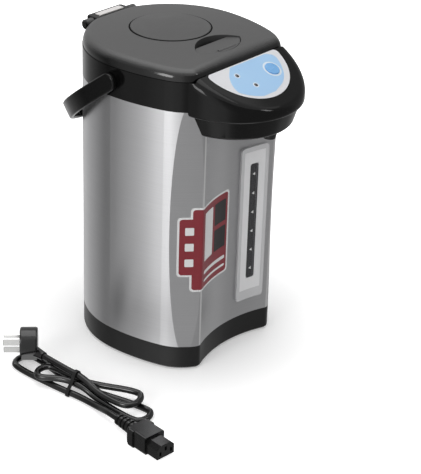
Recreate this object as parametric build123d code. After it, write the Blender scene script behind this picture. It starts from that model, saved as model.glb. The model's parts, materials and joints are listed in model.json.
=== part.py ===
from build123d import *
import math
import os

# Electric airpot: a double-walled hot water pot with a pump, an overhanging pouring head and a lid
# that carries a hand-pumped air bellows. Its detachable mains lead lies beside it, tied in a hank.
# Millimetres, +Z up, front towards -Y, origin on the floor under the axis of the round back.

# Shared sizes
overrun = 2.0
seat_gap = 0.3
running_gap = 0.05
insert_gap = 0.15
straight_share = 0.9999999
from_base = (Align.CENTER, Align.CENTER, Align.MIN)
from_top = (Align.CENTER, Align.CENTER, Align.MAX)

# Plan of the body
body_r = 96.0
flank_draw = 10.0
corner_draw = 38.0
front_reach = 2.0
turn_drop = 32.5
front_hollow = 12.0
corner_r = 7.0
flank_x = body_r - flank_draw
corner_x = body_r - corner_draw
front_y = body_r + front_reach
flank_y = front_y - turn_drop

# Heights of the body
skirt_z = 0.8
base_top_z = 28.0
casing_h = 274.0
collar_h = 32.0
lid_h = 18.0
casing_top_z = base_top_z + casing_h
deck_z = casing_top_z + collar_h
lid_top_z = deck_z + lid_h

# Base
base_wall = 2.5
base_round = 2.2
spigot_h = 6.0
spigot_wall = 2.0
foot_h = 3.0
foot_r = 9.0
floor_plate_t = 2.5
boss_r = 5.0
boss_h = 14.0
boss_sink_share = 0.7
boss_angle = 45.0
screw_r = 1.5
screw_head_r = 2.8
screw_head_h = 1.1
screw_length = 12.0
vent_w = 3.0
vent_l = 34.0
vent_pitch = 8.0
vent_count = 5
vent_y = 45.0

# Steel casing
casing_wall = 1.2
facet_angle = 46.0
facet_mid_depth = 3.3
facet_end_depth = 0.3
facet_w = 60.0

# Water gauge on the hollow front
gauge_side = 26.4
gauge_w = 37.0
gauge_lift = 20.5
gauge_t = 2.6
gauge_round = 4.0
window_w = 11.0
window_h = 139.0
window_lift = 26.5
gauge_head = 20.0
window_round = 3.0
tube_r = 4.0
tube_bore = 2.8
tube_below = 13.0
tube_above = 16.0
gauge_x = corner_x - gauge_side
gauge_h = window_lift + window_h + gauge_head
gauge_bottom_z = base_top_z + gauge_lift
window_bottom_z = gauge_bottom_z + window_lift
window_top_z = window_bottom_z + window_h
tube_bottom_z = window_bottom_z - tube_below
tube_top_z = window_top_z + tube_above

# Inner pot, heater and pump
pot_gap = 12.8
pot_wall = 1.0
pot_lift = 34.0
pot_round = 14.0
vessel_seam_share = 0.85
rim_w = 12.0
seal_t = 2.0
outlet_r = 5.0
outlet_drop = 8.0
heater_t = 2.5
heater_rise = 16.0
heater_h = 32.0
thermostat_r = 9.0
thermostat_h = 7.0
thermostat_x = -28.0
motor_r = 17.0
motor_h = 20.0
pump_set = 56.0
pump_r = 21.0
pump_h = 15.0
pump_wall = 3.0
inlet_neck_h = 8.0
shaft_r = 2.0
shaft_h = 16.0
impeller_r = 16.0
impeller_t = 2.0
blade_h = 5.0
blade_t = 1.6
blade_count = 6
hose_wall = 1.6
hose_bend = 9.0
delivery_rise = 6.0
delivery_bend = 10.0
pump_y = front_y - pump_set
pot_r = body_r - casing_wall - pot_gap
pot_bottom_z = base_top_z + pot_lift
vessel_seam_z = pot_bottom_z + vessel_seam_share * pot_round
heater_bottom_z = pot_bottom_z + heater_rise
delivery_z = casing_top_z + delivery_rise

# Shoulder: collar, mouth and nose
collar_wall = 3.0
deck_t = 3.0
mouth_wall = 3.0
mouth_h = 34.0
nose_r = 74.0
nose_set = 14.0
nose_drop = 5.0
nose_round = 10.0
nose_foot_round = 4.0
nose_wall = 3.0
pivot_boss_r = 10.0
pivot_boss_stand = 3.4
mouth_r = pot_r - rim_w
mouth_bottom_z = deck_z - mouth_h
flange_z = mouth_bottom_z - seal_t
nose_back = front_y - nose_set
nose_bottom_z = casing_top_z - nose_drop

# Control panel
panel_set = 5.0
panel_rise = 4.0
panel_tilt = 25.6
panel_half_w = 55.0
panel_depth = 53.0
panel_t = 2.0
panel_round = 5.0
panel_ledge = 4.0
button_u = 26.3
button_v = 21.7
button_r = 8.0
button_h = 6.0
button_proud = 1.6
button_flange = 1.5
button_flange_t = 1.2
led_r = 2.2
led_places = [(-21.2, 13.5), (-10.8, 31.9)]
board_w = 84.0
board_l = 28.0
board_t = 1.6
board_drop = 8.0
board_v = 22.0
post_r = 2.2
post_inset = 7.0
post_edge = 4.0
panel_back = front_y - panel_set
panel_back_z = deck_z + panel_rise

# Chin and spout
chin_h = 22.0
chin_bottom_r = 63.0
chin_wall = 2.5
chin_round = 5.0
spout_reach = 50.0
spout_r = 8.0
spout_tip_r = 6.5
spout_bore = 3.6
spout_drop = 8.0
spout_neck = 13.0
spout_flange_r = 9.5
spout_flange_t = 2.5
lever_set = 13.0
lever_pivot_rise = 9.0
lever_drop = 12.0
lever_w = 16.0
lever_t = 2.6
lever_eye_r = 3.4
lever_pin_r = 1.5
lever_pin_length = 27.0
lever_slot_l = 11.0
lug_t = 3.0
lug_gap = 0.5
lug_r = 3.6
chin_bottom_z = nose_bottom_z - chin_h
spout_y = nose_back + spout_reach
spout_tip_z = chin_bottom_z - spout_drop
spout_top_z = chin_bottom_z + spout_neck
lever_y = spout_y - lever_set
lever_pivot_z = chin_bottom_z + lever_pivot_rise
lever_tip_z = chin_bottom_z - lever_drop

# Mains inlet at the back
inlet_lift = 20.0
inlet_w = 28.0
inlet_h = 21.0
inlet_depth = 25.0
inlet_flange = 4.0
inlet_flange_t = 3.0
inlet_mouth_w = 24.0
inlet_mouth_h = 16.4
inlet_well = 17.0
inlet_chamfer = 4.5
blade_w = 4.0
blade_thick = 2.0
blade_length = 10.0
blade_offset = 7.0
blade_rise = 2.0
inlet_z = base_top_z + inlet_lift

# Lid
lid_gap = 0.4
lid_inset = 0.6
lid_rise = 5.5
lid_wall = 3.0
lid_round_share = 0.9
lid_corner_r = 14.0
lid_front_gap = 1.5
plug_gap = 6.0
plug_taper = 9.0
plug_depth = 42.0
plug_straight = 12.0
plug_wall = 2.0
plug_lap = 2.0
gasket_gap = 1.5
gasket_drop = 8.0
gasket_t = 4.0
lid_post_r = 4.0
lid_post_inset = 5.0
lid_post_angles = [60.0, 120.0, 240.0, 300.0]
lid_round = lid_round_share * (lid_h - lid_rise - lid_gap)
plug_r = mouth_r - plug_gap
plug_tip_r = plug_r - plug_taper
plug_bottom_z = deck_z - plug_depth
plug_straight_z = deck_z - plug_straight
plug_flange_r = mouth_r + plug_lap
gasket_r = mouth_r - gasket_gap
gasket_bottom_z = deck_z - gasket_drop
lid_post_ring_r = plug_flange_r - lid_post_inset

# Hand pump in the lid
disc_y = 4.5
disc_in = 12.6
disc_gap = 0.5
disc_stand = 1.5
disc_crown = 2.0
disc_wall = 2.5
disc_h = 10.5
bellows_in = 5.4
bellows_fold = 5.0
bellows_folds = 6
bellows_wall = 1.2
bellows_drop = 12.5
spring_r = 15.0
spring_wire = 0.9
spring_turns = 5
spring_end_gap = 0.2
disc_r = plug_tip_r - disc_in
disc_top_z = lid_top_z + disc_stand
disc_skirt_z = disc_top_z - disc_h
bellows_r = disc_r - bellows_in
bellows_top_z = disc_top_z - bellows_drop

# Finger recess and lid lever
recess_half_w = 34.0
recess_edge = 14.0
recess_fore = 17.0
recess_aft = 20.0
recess_floor_rise = 5.0
recess_wall = 2.0
flap_gap = 1.0
flap_set = 10.0
flap_t = 3.0
flap_rise = 6.0
flap_pin_set = 6.0
flap_pin_r = 1.5
flap_pin_length = 46.0
flap_barrel_r = 2.4
flap_barrel_l = 26.0
recess_front_y = panel_back - recess_edge
recess_y = recess_front_y - recess_fore
recess_back_y = recess_y - recess_aft
recess_floor_z = deck_z + recess_floor_rise
flap_back_y = recess_back_y + flap_set
flap_z = recess_floor_z + flap_rise
flap_pin_y = recess_front_y - flap_pin_set

# Lid hinge
hinge_in = 3.0
hinge_rise = 6.0
hinge_pin_r = 2.5
hinge_pin_length = 78.0
hinge_block_w = 54.0
hinge_block_fore = 9.0
hinge_block_aft = 10.0
hinge_block_cap = 6.0
hinge_block_h = 20.0
hinge_block_round = 4.0
hinge_ear_r = 5.4
hinge_ear_w = 10.0
hinge_side_gap = 0.6
hinge_notch_gap = 1.0
strip_w = 37.0
strip_l = 8.0
strip_t = 1.0
hinge_y = body_r - hinge_in
hinge_z = deck_z + hinge_rise
hinge_block_front = hinge_y - hinge_block_fore
hinge_block_back = hinge_y + hinge_block_aft
hinge_block_top_z = hinge_z + hinge_block_cap
hinge_block_bottom_z = hinge_block_top_z - hinge_block_h

# Carrying handle
pivot_y = -4.0
pivot_drop = 14.0
pivot_pin_r = 4.0
pivot_cap = 1.5
strap_w = 19.0
strap_t = 6.0
strap_round = 1.8
handle_side_gap = 0.6
handle_arm = 36.0
handle_hang = 37.0
pivot_z = deck_z - pivot_drop
handle_half_w = body_r + pivot_boss_stand + handle_side_gap + strap_t / 2

# Mains lead
cord_d = 7.0
end_straight = 8.0
rest_gap = 0.05
prong_turn = 134.0
prong_head_r = 16.0
prong_foot_r = 9.0
prong_body_h = 38.0
prong_depth = 19.0
prong_round = 2.0
prong_foot_cut = 1.5
prong_length = 18.0
prong_w = 6.4
prong_t = 1.6
prong_slant = 30.0
prong_spread = 7.0
prong_y = 25.0
earth_y = 12.0
boot_reach = 24.0
boot_r = 7.0
boot_tip_r = 4.6
connector_turn = -96.0
connector_w = 26.0
connector_h = 20.0
connector_body = 28.0
connector_round = 3.0
grip_rise = 1.6
grip_at = 4.0
grip_w = 7.0
connector_nose_w = 22.0
connector_nose_h = 15.0
connector_nose = 17.0
connector_chamfer = 4.5
connector_slot = 12.0
relief_length = 28.0
relief_r = 6.6
relief_tip_r = 4.8
relief_ribs = 5
rib_w = 2.6
rib_rise = 1.2

# Hank of the lead in its own directions: along the tied waist, across it, and in layers
waist_at = (-181.0, -33.0)
waist_turn = -83.0
layer_step = 8.0
column = 4.0
exit_column = 12.0
drop_run = 50.0
drop_aside = 5.5
far_reaches = [76.0, 94.0]
far_radii = [16.0, 14.0]
far_yaws = [6.0, -1.0]
near_reaches = [46.0, 86.0]
near_radii = [13.0, 15.0]
near_yaws = [8.0, -6.0]
prong_along = -74.0
prong_aside = 12.0
relief_along = 76.0
relief_aside = -28.5
tie_w = 4.0
tie_t = 1.2
tie_gap = 0.4

os.makedirs("parts", exist_ok=True)
pieces = {}

# Circle of the hollow front
hollow_r = (corner_x ** 2 + front_hollow ** 2) / (2 * front_hollow)
hollow_y = front_hollow - front_y - hollow_r


def prism(face, low, high):
    """Upright prism of a plan face between two heights."""
    return Pos(0, 0, low) * extrude(face, high - low)


def tube(path, outer, bore):
    """Pipe of round section along a path, hollow where bore is not zero."""
    start = Plane(origin=path @ 0, z_dir=path % 0)
    solid = sweep(start * Circle(outer), path=path)
    if bore:
        solid = solid - sweep(start * Circle(bore), path=path)
    return solid


def flank_arc():
    """Bowed flank on the right, tangent to the round back."""
    return TangentArc((body_r, 0), (flank_x, -flank_y), tangent=(0, -1))


def turn_arc():
    """Tighter bend that carries the flank round to the front corner."""
    flank = flank_arc()
    return TangentArc(flank @ 1, (corner_x, -front_y), tangent=flank % 1)


def front_corner(inset):
    """Where the bend of the flank meets the hollow front, both set in by a distance."""
    turn = turn_arc()
    bend_r = turn.radius - inset
    front_r = hollow_r + inset
    line = turn.arc_center - Vector(0, hollow_y, 0)
    along = (front_r ** 2 - bend_r ** 2 + line.length ** 2) / (2 * line.length)
    aside = math.sqrt(front_r ** 2 - along ** 2)
    unit = line.normalized()
    return Vector(0, hollow_y, 0) + unit * along + unit.rotate(Axis.Z, -90) * aside


def outline(inset):
    """Plan of the body set in by a distance: round back, bowed flanks, hollow front."""
    turn = turn_arc()
    knee = turn.arc_center + (turn @ 0 - turn.arc_center).normalized() * (turn.radius - inset)
    corner = front_corner(inset)
    round_r = body_r - inset
    edges = [ThreePointArc((round_r, 0), (0, round_r), (-round_r, 0))]
    for side in (1, -1):
        flank = TangentArc((side * round_r, 0), (side * knee.X, knee.Y), tangent=(0, -1))
        edges.append(flank)
        edges.append(TangentArc(flank @ 1, (side * corner.X, corner.Y), tangent=flank % 1))
    hollow = (0, front_hollow - front_y + inset)
    edges.append(ThreePointArc((-corner.X, corner.Y), hollow, (corner.X, corner.Y)))
    face = make_face(edges)
    return fillet(face.vertices().sort_by(Axis.Y)[:2], corner_r - inset)


def facet_cutter(inset):
    """Tall shallow scallop that flattens a front corner, deepest at mid-height."""
    turn = turn_arc()
    across = Vector(math.cos(math.radians(facet_angle)), -math.sin(math.radians(facet_angle)), 0)
    reach = across.dot(turn.arc_center) + turn.radius - inset
    middle = (base_top_z + casing_top_z) / 2
    plane = Plane(origin=(0, 0, 0), x_dir=across, z_dir=across.cross(Vector(0, 0, 1)))
    low = base_top_z - overrun
    high = casing_top_z + overrun
    deep = reach - facet_mid_depth
    shallow = reach - facet_end_depth
    outside = reach + facet_w
    curve = ThreePointArc((shallow, low), (deep, middle), (shallow, high))
    edges = [curve, Polyline((shallow, high), (outside, high), (outside, low), (shallow, low))]
    cutter = extrude(plane * make_face(edges), facet_w, both=True)
    return [cutter, mirror(cutter, about=Plane.YZ)]


def casing_block(inset, low, high):
    """Solid inside the casing's skin at a given depth, corner scallops included."""
    return prism(outline(inset), low, high) - facet_cutter(inset)


# Water gauge datum on the hollow front
gauge_turn = math.asin(gauge_x / hollow_r)
gauge_out = Vector(-math.sin(gauge_turn), -math.cos(gauge_turn), 0)
gauge_along = Vector(math.cos(gauge_turn), -math.sin(gauge_turn), 0)
gauge_top_z = gauge_bottom_z + gauge_h
gauge_mid_z = (gauge_bottom_z + gauge_top_z) / 2
window_mid_z = (window_bottom_z + window_top_z) / 2


def gauge_plane(z):
    """Plane on the hollow front behind the gauge, facing outwards."""
    origin = Vector(0, hollow_y, z) - gauge_out * hollow_r
    return Plane(origin=origin, x_dir=gauge_along, z_dir=gauge_out)


tube_axis = gauge_plane(0).origin - gauge_out * (casing_wall + spigot_wall + tube_r + 3 * seat_gap)


def base():
    """Black base: skirt with a spigot for the casing, floor plate, feet and screws."""
    skirt = prism(outline(0), skirt_z, base_top_z)
    skirt = chamfer(skirt.faces().sort_by(Axis.Z)[0].edges(), base_round)
    skirt = skirt - prism(outline(base_wall), skirt_z - overrun, base_top_z + overrun)
    spigot_out = casing_wall + insert_gap
    spigot = casing_block(spigot_out, base_top_z - spigot_h, base_top_z + spigot_h)
    spigot = spigot - prism(outline(spigot_out + spigot_wall), skirt_z, base_top_z + spigot_h + overrun)
    plate_top = foot_h + floor_plate_t
    turn = turn_arc()
    inward = base_wall + boss_r * boss_sink_share
    slant = Vector(math.cos(math.radians(boss_angle)), math.sin(math.radians(boss_angle)), 0)
    rear = slant * (body_r - inward)
    fore = turn.arc_center + Vector(slant.X, -slant.Y, 0) * (turn.radius - inward)
    places = []
    for side in (1, -1):
        places.append((side * rear.X, rear.Y))
        places.append((side * fore.X, fore.Y))
    bosses = [Pos(x, y, plate_top + boss_h / 2) * Cylinder(boss_r, boss_h) for x, y in places]
    ring = (skirt + spigot + bosses) & prism(outline(0), skirt_z, base_top_z + spigot_h)
    pilots = [Pos(x, y, plate_top) * Cylinder(screw_r + running_gap, 2 * boss_h) for x, y in places]
    pieces["base_ring"] = ring - pilots

    plate = prism(outline(base_wall + insert_gap), foot_h, plate_top) - pilots
    vent = SlotOverall(vent_l, vent_w)
    for step in range(vent_count):
        place = Pos(0, vent_y + (step - (vent_count - 1) / 2) * vent_pitch, foot_h)
        plate = plate - place * extrude(vent, floor_plate_t + overrun, both=True)
    pieces["base_plate"] = plate

    screws = []
    for x, y in places:
        shank = Pos(x, y, foot_h) * Cylinder(screw_r, screw_length, align=from_base)
        head = Pos(x, y, foot_h) * Cylinder(screw_head_r, screw_head_h, align=from_top)
        screws.append(shank + head)
    pieces["base_screws"] = Compound(children=screws)

    feet = []
    for x, y in places:
        pull = 1 - (boss_r + foot_r) / math.hypot(x, y)
        foot = Cylinder(foot_r, foot_h, align=from_base)
        feet.append(Pos(x * pull, y * pull, 0) * foot)
    pieces["rubber_feet"] = Compound(children=feet)


def casing():
    """Brushed steel skin with scalloped front corners, a gauge slot and an inlet opening."""
    skin = casing_block(0, base_top_z, casing_top_z)
    skin = skin - casing_block(casing_wall, base_top_z - overrun, casing_top_z + overrun)
    slot = gauge_plane(window_mid_z) * SlotOverall(window_h, window_w - gauge_t, rotation=90)
    skin = skin - extrude(slot, casing_wall + overrun, both=True)
    opening = Pos(0, body_r, inlet_z) * Box(inlet_w + 2 * insert_gap, body_r / 2, inlet_h + 2 * insert_gap)
    pieces["outer_casing"] = skin - opening


def gauge():
    """Gauge plate bent to the hollow front, its clear window and the glass tube behind it."""
    band = Circle(hollow_r) - Circle(hollow_r - gauge_t)
    bent = Pos(0, hollow_y, 0) * prism(band, gauge_bottom_z - overrun, gauge_top_z + overrun)
    plate_face = gauge_plane(gauge_mid_z) * RectangleRounded(gauge_w, gauge_h, gauge_round)
    slot_face = gauge_plane(window_mid_z) * RectangleRounded(window_w, window_h, window_round)
    glass_face = gauge_plane(window_mid_z) * RectangleRounded(
        window_w - 2 * insert_gap, window_h - 2 * insert_gap, window_round - insert_gap)
    depth = 2 * gauge_t
    plate = bent & extrude(plate_face, depth, both=True)
    pieces["gauge_plate"] = plate - extrude(slot_face, depth, both=True)
    pieces["gauge_window"] = bent & extrude(glass_face, depth, both=True)
    ring = Circle(tube_r) - Circle(tube_bore)
    pieces["gauge_tube"] = Pos(tube_axis.X, tube_axis.Y, 0) * prism(ring, tube_bottom_z, tube_top_z)


tilt = math.radians(panel_tilt)
panel_plane = Plane(
    origin=(0, -panel_back, panel_back_z), x_dir=(1, 0, 0), z_dir=(0, -math.sin(tilt), math.cos(tilt)))


def panel_spot(u, v, depth):
    """Location on the sloping panel: u to the right, v down the slope, depth below its face."""
    return panel_plane * Pos(u, -v, -depth)


def panel_face(shrink):
    """Half-round panel outline with a straight back edge, set in by a distance."""
    half = panel_half_w - shrink
    arc = ThreePointArc((half, -shrink), (0, shrink - panel_depth), (-half, -shrink))
    face = make_face([arc, Line((-half, -shrink), (half, -shrink))])
    return fillet(face.vertices(), panel_round)


def nose_block(inset):
    """Round nose under the sloping panel, its upper rim rolled over, set in by a distance."""
    low = nose_bottom_z - (overrun if inset else 0)
    high = panel_back_z + nose_r
    radius = nose_r - inset
    block = Pos(0, -nose_back, 0) * prism(Circle(radius), low, high)
    block = split(block, bisect_by=panel_plane.offset(-inset), keep=Keep.BOTTOM)
    rim = block.faces().sort_by(Axis.Z)[-1].edges()
    block = fillet(rim, nose_round - inset)
    if not inset:
        block = fillet(block.faces().sort_by(Axis.Z)[0].edges(), nose_foot_round)
    reach = 2 * nose_r
    behind = Pos(0, inset - panel_back, deck_z - (deck_t if inset else 0)) * Box(
        2 * reach, reach, reach, align=(Align.CENTER, Align.MIN, Align.MIN))
    behind = Pos(0, -2 * inset, 0) * behind
    return block - behind


def shoulder():
    """Glossy shoulder moulding: collar round the body, mouth for the lid and overhanging nose."""
    collar = prism(outline(0), casing_top_z, deck_z)
    hollow = prism(outline(collar_wall), casing_top_z - overrun, deck_z - deck_t)
    under = prism(outline(-seat_gap), nose_bottom_z - 2 * overrun, casing_top_z)
    shell = collar + (nose_block(0) - under)
    shell = shell - hollow - nose_block(nose_wall)
    shell = shell + prism(Circle(mouth_r + mouth_wall), mouth_bottom_z, deck_z)
    shell = shell - prism(Circle(mouth_r), mouth_bottom_z - overrun, deck_z + overrun)
    for side in (1, -1):
        boss = Rot(0, 90, 0) * Cylinder(pivot_boss_r, collar_wall + pivot_boss_stand)
        reach = body_r - collar_wall / 2 + pivot_boss_stand / 2
        shell = shell + Pos(side * reach, pivot_y, pivot_z) * boss
        bore = Rot(0, 90, 0) * Cylinder(pivot_pin_r + running_gap, body_r / 2)
        shell = shell - Pos(side * body_r, pivot_y, pivot_z) * bore
    seat = panel_plane.offset(-panel_t) * panel_face(-insert_gap)
    shell = shell - extrude(seat, 2 * panel_t)
    throat = panel_plane.offset(-panel_t - overrun - nose_wall) * panel_face(panel_ledge)
    shell = shell - extrude(throat, nose_wall + 2 * overrun)
    notch_w = hinge_block_w + 2 * insert_gap
    notch = Pos(0, hinge_block_front, hinge_block_bottom_z) * Box(
        notch_w, body_r, body_r, align=(Align.CENTER, Align.MIN, Align.MIN))
    pieces["shoulder"] = shell - notch


def chin():
    """Tapered chin under the nose, with the spout hole, the cup lever slot and its lugs."""
    height = nose_bottom_z - chin_bottom_z
    top_r = nose_r - nose_foot_round - seat_gap
    outer = Cone(chin_bottom_r, top_r, height, align=from_base)
    outer = fillet(outer.edges().sort_by(Axis.Z)[:1], chin_round)
    inner = Cone(chin_bottom_r - chin_wall, top_r - chin_wall, height, align=from_base)
    place = Pos(0, -nose_back, chin_bottom_z)
    cup = place * outer - place * Pos(0, 0, chin_wall) * inner
    floor_z = chin_bottom_z + chin_wall
    for side in (1, -1):
        at = side * (lever_w / 2 + lug_gap + lug_t / 2)
        lug = Pos(at, -lever_y, lever_pivot_z) * Rot(0, 90, 0) * Cylinder(lug_r, lug_t)
        post = Pos(at, -lever_y, floor_z) * Box(
            lug_t, 2 * lug_r, lever_pivot_z - floor_z, align=from_base)
        cup = cup + lug + post
    cup = cup - Pos(0, -lever_y, lever_pivot_z) * Rot(0, 90, 0) * Cylinder(
        lever_pin_r + running_gap, 2 * lever_pin_length)
    cup = cup - prism(outline(-seat_gap), chin_bottom_z - overrun, nose_bottom_z + overrun)
    cup = cup - Pos(0, -spout_y, chin_bottom_z) * Cylinder(spout_r + insert_gap, 4 * chin_wall)
    slot = Pos(0, -lever_y, chin_bottom_z) * Box(lever_w + 2 * lug_gap, lever_slot_l, 4 * chin_wall)
    pieces["chin_cover"] = cup - slot

    spout = Pos(0, -spout_y, 0) * prism(Circle(spout_r), chin_bottom_z, floor_z)
    tip = Pos(0, -spout_y, spout_tip_z) * Cone(
        spout_tip_r, spout_r, chin_bottom_z - spout_tip_z, align=from_base)
    flange = Pos(0, -spout_y, 0) * prism(Circle(spout_flange_r), floor_z, floor_z + spout_flange_t)
    neck = Pos(0, -spout_y, 0) * prism(Circle(tube_r + hose_wall), floor_z, spout_top_z)
    spout = spout + tip + flange + neck
    bore = Pos(0, -spout_y, 0) * prism(Circle(spout_bore), spout_tip_z - overrun, spout_top_z + overrun)
    pieces["spout_nozzle"] = spout - bore

    eye = Pos(0, -lever_y, lever_pivot_z) * Rot(0, 90, 0) * Cylinder(lever_eye_r, lever_w)
    blade = Pos(0, -lever_y, lever_tip_z) * Box(
        lever_w, lever_t, lever_pivot_z - lever_tip_z, align=from_base)
    blade = fillet(blade.edges().filter_by(Axis.Y).sort_by(Axis.Z)[:2], lever_w / 4)
    lever = eye + blade
    lever = lever - Pos(0, -lever_y, lever_pivot_z) * Rot(0, 90, 0) * Cylinder(
        lever_pin_r + running_gap, 2 * lever_w)
    pieces["cup_lever"] = lever
    pieces["cup_lever_pin"] = Pos(0, -lever_y, lever_pivot_z) * Rot(0, 90, 0) * Cylinder(
        lever_pin_r, lever_pin_length)


def panel():
    """Sloping panel plate with its button, indicator lenses and the circuit board below."""
    plate = panel_plane * Pos(0, 0, -panel_t) * extrude(panel_face(0), panel_t)
    plate = plate - panel_spot(button_u, button_v, 0) * Cylinder(button_r + seat_gap, 4 * panel_t)
    lenses = []
    for u, v in led_places:
        plate = plate - panel_spot(u, v, 0) * Cylinder(led_r + running_gap, 4 * panel_t)
        lenses.append(panel_spot(u, v, panel_t / 2) * Cylinder(led_r, panel_t))
    pieces["indicator_lenses"] = Compound(children=lenses)
    for side in (1, -1):
        for end in (1, -1):
            u = side * (board_w / 2 - post_inset)
            v = board_v + end * (board_l / 2 - post_edge)
            length = board_drop - panel_t
            post = panel_spot(u, v, panel_t) * Cylinder(
                post_r, length, align=from_top)
            plate = plate + post
    pieces["panel_plate"] = plate
    board = Rectangle(board_w, board_l)
    pieces["control_board"] = panel_spot(0, board_v, board_drop + board_t) * extrude(board, board_t)
    cap = Cylinder(button_r, button_h, align=from_top)
    cap = fillet(cap.edges().sort_by(Axis.Z)[-1:], button_proud / 2)
    flange_at = Pos(0, 0, -button_proud - panel_t - seat_gap)
    flange = flange_at * Cylinder(
        button_r + button_flange, button_flange_t, align=from_top)
    pieces["dispense_button"] = panel_spot(button_u, button_v, -button_proud) * (cap + flange)


pump_x = tube_axis.X
pump_floor_z = foot_h + floor_plate_t
pump_z = pump_floor_z + motor_h
pump_top_z = pump_z + pump_h
riser_z = pump_z + pump_h / 2


def vessel():
    """Inner pot, its welded floor with the outlet, rim seal, band heater and thermostat."""
    wall = prism(Circle(pot_r), pot_bottom_z, flange_z)
    wall = fillet(wall.edges().sort_by(Axis.Z)[:1], pot_round)
    inside = prism(Circle(pot_r - pot_wall), pot_bottom_z + pot_wall, flange_z - pot_wall)
    inside = fillet(inside.edges().sort_by(Axis.Z)[:1], pot_round - pot_wall)
    at = Pos(pump_x, -pump_y, 0)
    drain_z = pot_bottom_z - outlet_drop
    drain = at * prism(Circle(outlet_r), drain_z, pot_bottom_z + pot_wall)
    hole = at * prism(Circle(outlet_r - pot_wall), drain_z - overrun, pot_bottom_z + overrun)
    mouth = prism(Circle(mouth_r), flange_z - 2 * pot_wall, flange_z + overrun)
    can = wall - inside - mouth
    seam = Plane.XY.offset(vessel_seam_z)
    pieces["inner_pot"] = split(can, bisect_by=seam, keep=Keep.TOP)
    pieces["vessel_floor"] = split(can, bisect_by=seam, keep=Keep.BOTTOM) + drain - hole
    seal = Circle(mouth_r + mouth_wall) - Circle(mouth_r)
    pieces["rim_seal"] = prism(seal, flange_z, mouth_bottom_z)
    band = Circle(pot_r + heater_t) - Circle(pot_r)
    gap = Pos(0, -pot_r, 0) * Rectangle(pot_r, pot_r / 2)
    pieces["band_heater"] = prism(band - gap, heater_bottom_z, heater_bottom_z + heater_h)
    pieces["thermostat"] = Pos(thermostat_x, 0, 0) * prism(
        Circle(thermostat_r), pot_bottom_z - thermostat_h, pot_bottom_z)


def pump():
    """Motor, pump chamber, impeller and the hoses that lead to the spout."""
    at = Pos(pump_x, -pump_y, 0)
    bore = at * prism(Circle(shaft_r + running_gap), pump_z - shaft_h / 2, pump_z + pump_h / 2)
    pieces["pump_motor"] = at * prism(Circle(motor_r), pump_floor_z, pump_z) - bore
    chamber = at * prism(Circle(pump_r), pump_z, pump_top_z)
    neck = at * prism(Circle(outlet_r), pump_top_z, pump_top_z + inlet_neck_h)
    cavity = at * prism(Circle(pump_r - pump_wall), pump_z + pump_wall, pump_top_z - pump_wall)
    intake = at * prism(
        Circle(outlet_r - pot_wall), pump_top_z - 2 * pump_wall, pump_top_z + inlet_neck_h + overrun)
    spigot_at = Pos(pump_x, -pump_y - pump_r + pump_wall, riser_z) * Rot(90, 0, 0)
    spigot_l = 2 * pump_wall
    spigot = spigot_at * Cylinder(tube_r, spigot_l, align=from_base)
    way = spigot_at * Cylinder(tube_bore, 4 * spigot_l)
    body = chamber + (spigot - cavity) + neck - cavity - intake - bore
    pieces["pump_housing"] = body - (way - at * prism(Circle(pump_r / 2), 0, pump_top_z))

    disc_z = pump_z + pump_wall + seat_gap
    hub = at * prism(Circle(shaft_r), pump_z - shaft_h / 2 + seat_gap, disc_z + impeller_t + blade_h)
    rotor = hub + at * prism(Circle(impeller_r), disc_z, disc_z + impeller_t)
    for step in range(blade_count):
        blade = Pos(0, 0, disc_z + impeller_t / 2) * Box(
            impeller_r - blade_t, blade_t, blade_h, align=(Align.MIN, Align.CENTER, Align.MIN))
        rotor = rotor + at * Rot(0, 0, step * 360 / blade_count) * blade
    pieces["pump_impeller"] = rotor

    sleeve = Circle(outlet_r + hose_wall) - Circle(outlet_r)
    hose_low = pump_top_z + seat_gap
    pieces["suction_hose"] = at * prism(sleeve, hose_low, pot_bottom_z - seat_gap)

    start_y = -pump_y - pump_r - pump_wall
    riser = FilletPolyline(
        (pump_x, start_y, riser_z), (pump_x, tube_axis.Y, riser_z), (pump_x, tube_axis.Y, tube_bottom_z),
        radius=hose_bend)
    pieces["riser_hose"] = tube(riser, tube_r, tube_bore)
    delivery = FilletPolyline(
        (pump_x, tube_axis.Y, tube_top_z), (pump_x, tube_axis.Y, delivery_z), (0, -spout_y, delivery_z),
        (0, -spout_y, spout_top_z), radius=delivery_bend)
    pieces["delivery_pipe"] = tube(delivery, tube_r, tube_bore)


def mains_inlet():
    """Recessed three-pin appliance inlet low on the back of the casing."""
    back = body_r + inlet_flange_t
    flange_face = RectangleRounded(inlet_w + 2 * inlet_flange, inlet_h + 2 * inlet_flange, inlet_flange)
    face_plane = Plane(origin=(0, back, inlet_z), x_dir=(-1, 0, 0), z_dir=(0, 1, 0))
    flange = extrude(face_plane * flange_face, -2 * inlet_flange_t)
    flange = flange - casing_block(0, base_top_z, casing_top_z)
    block = extrude(face_plane * Rectangle(inlet_w, inlet_h), -inlet_depth)
    mouth = chamfer(Rectangle(inlet_mouth_w, inlet_mouth_h).vertices().sort_by(Axis.Y)[2:], inlet_chamfer)
    pieces["mains_inlet"] = flange + block - extrude(face_plane * mouth, -inlet_well)
    blades = []
    for u, rise in ((-blade_offset, -blade_rise), (0, blade_rise), (blade_offset, -blade_rise)):
        foot = face_plane.offset(-inlet_well) * Pos(u, rise, 0)
        blades.append(foot * extrude(Rectangle(blade_thick, blade_w), blade_length))
    pieces["inlet_pins"] = Compound(children=blades)


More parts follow.
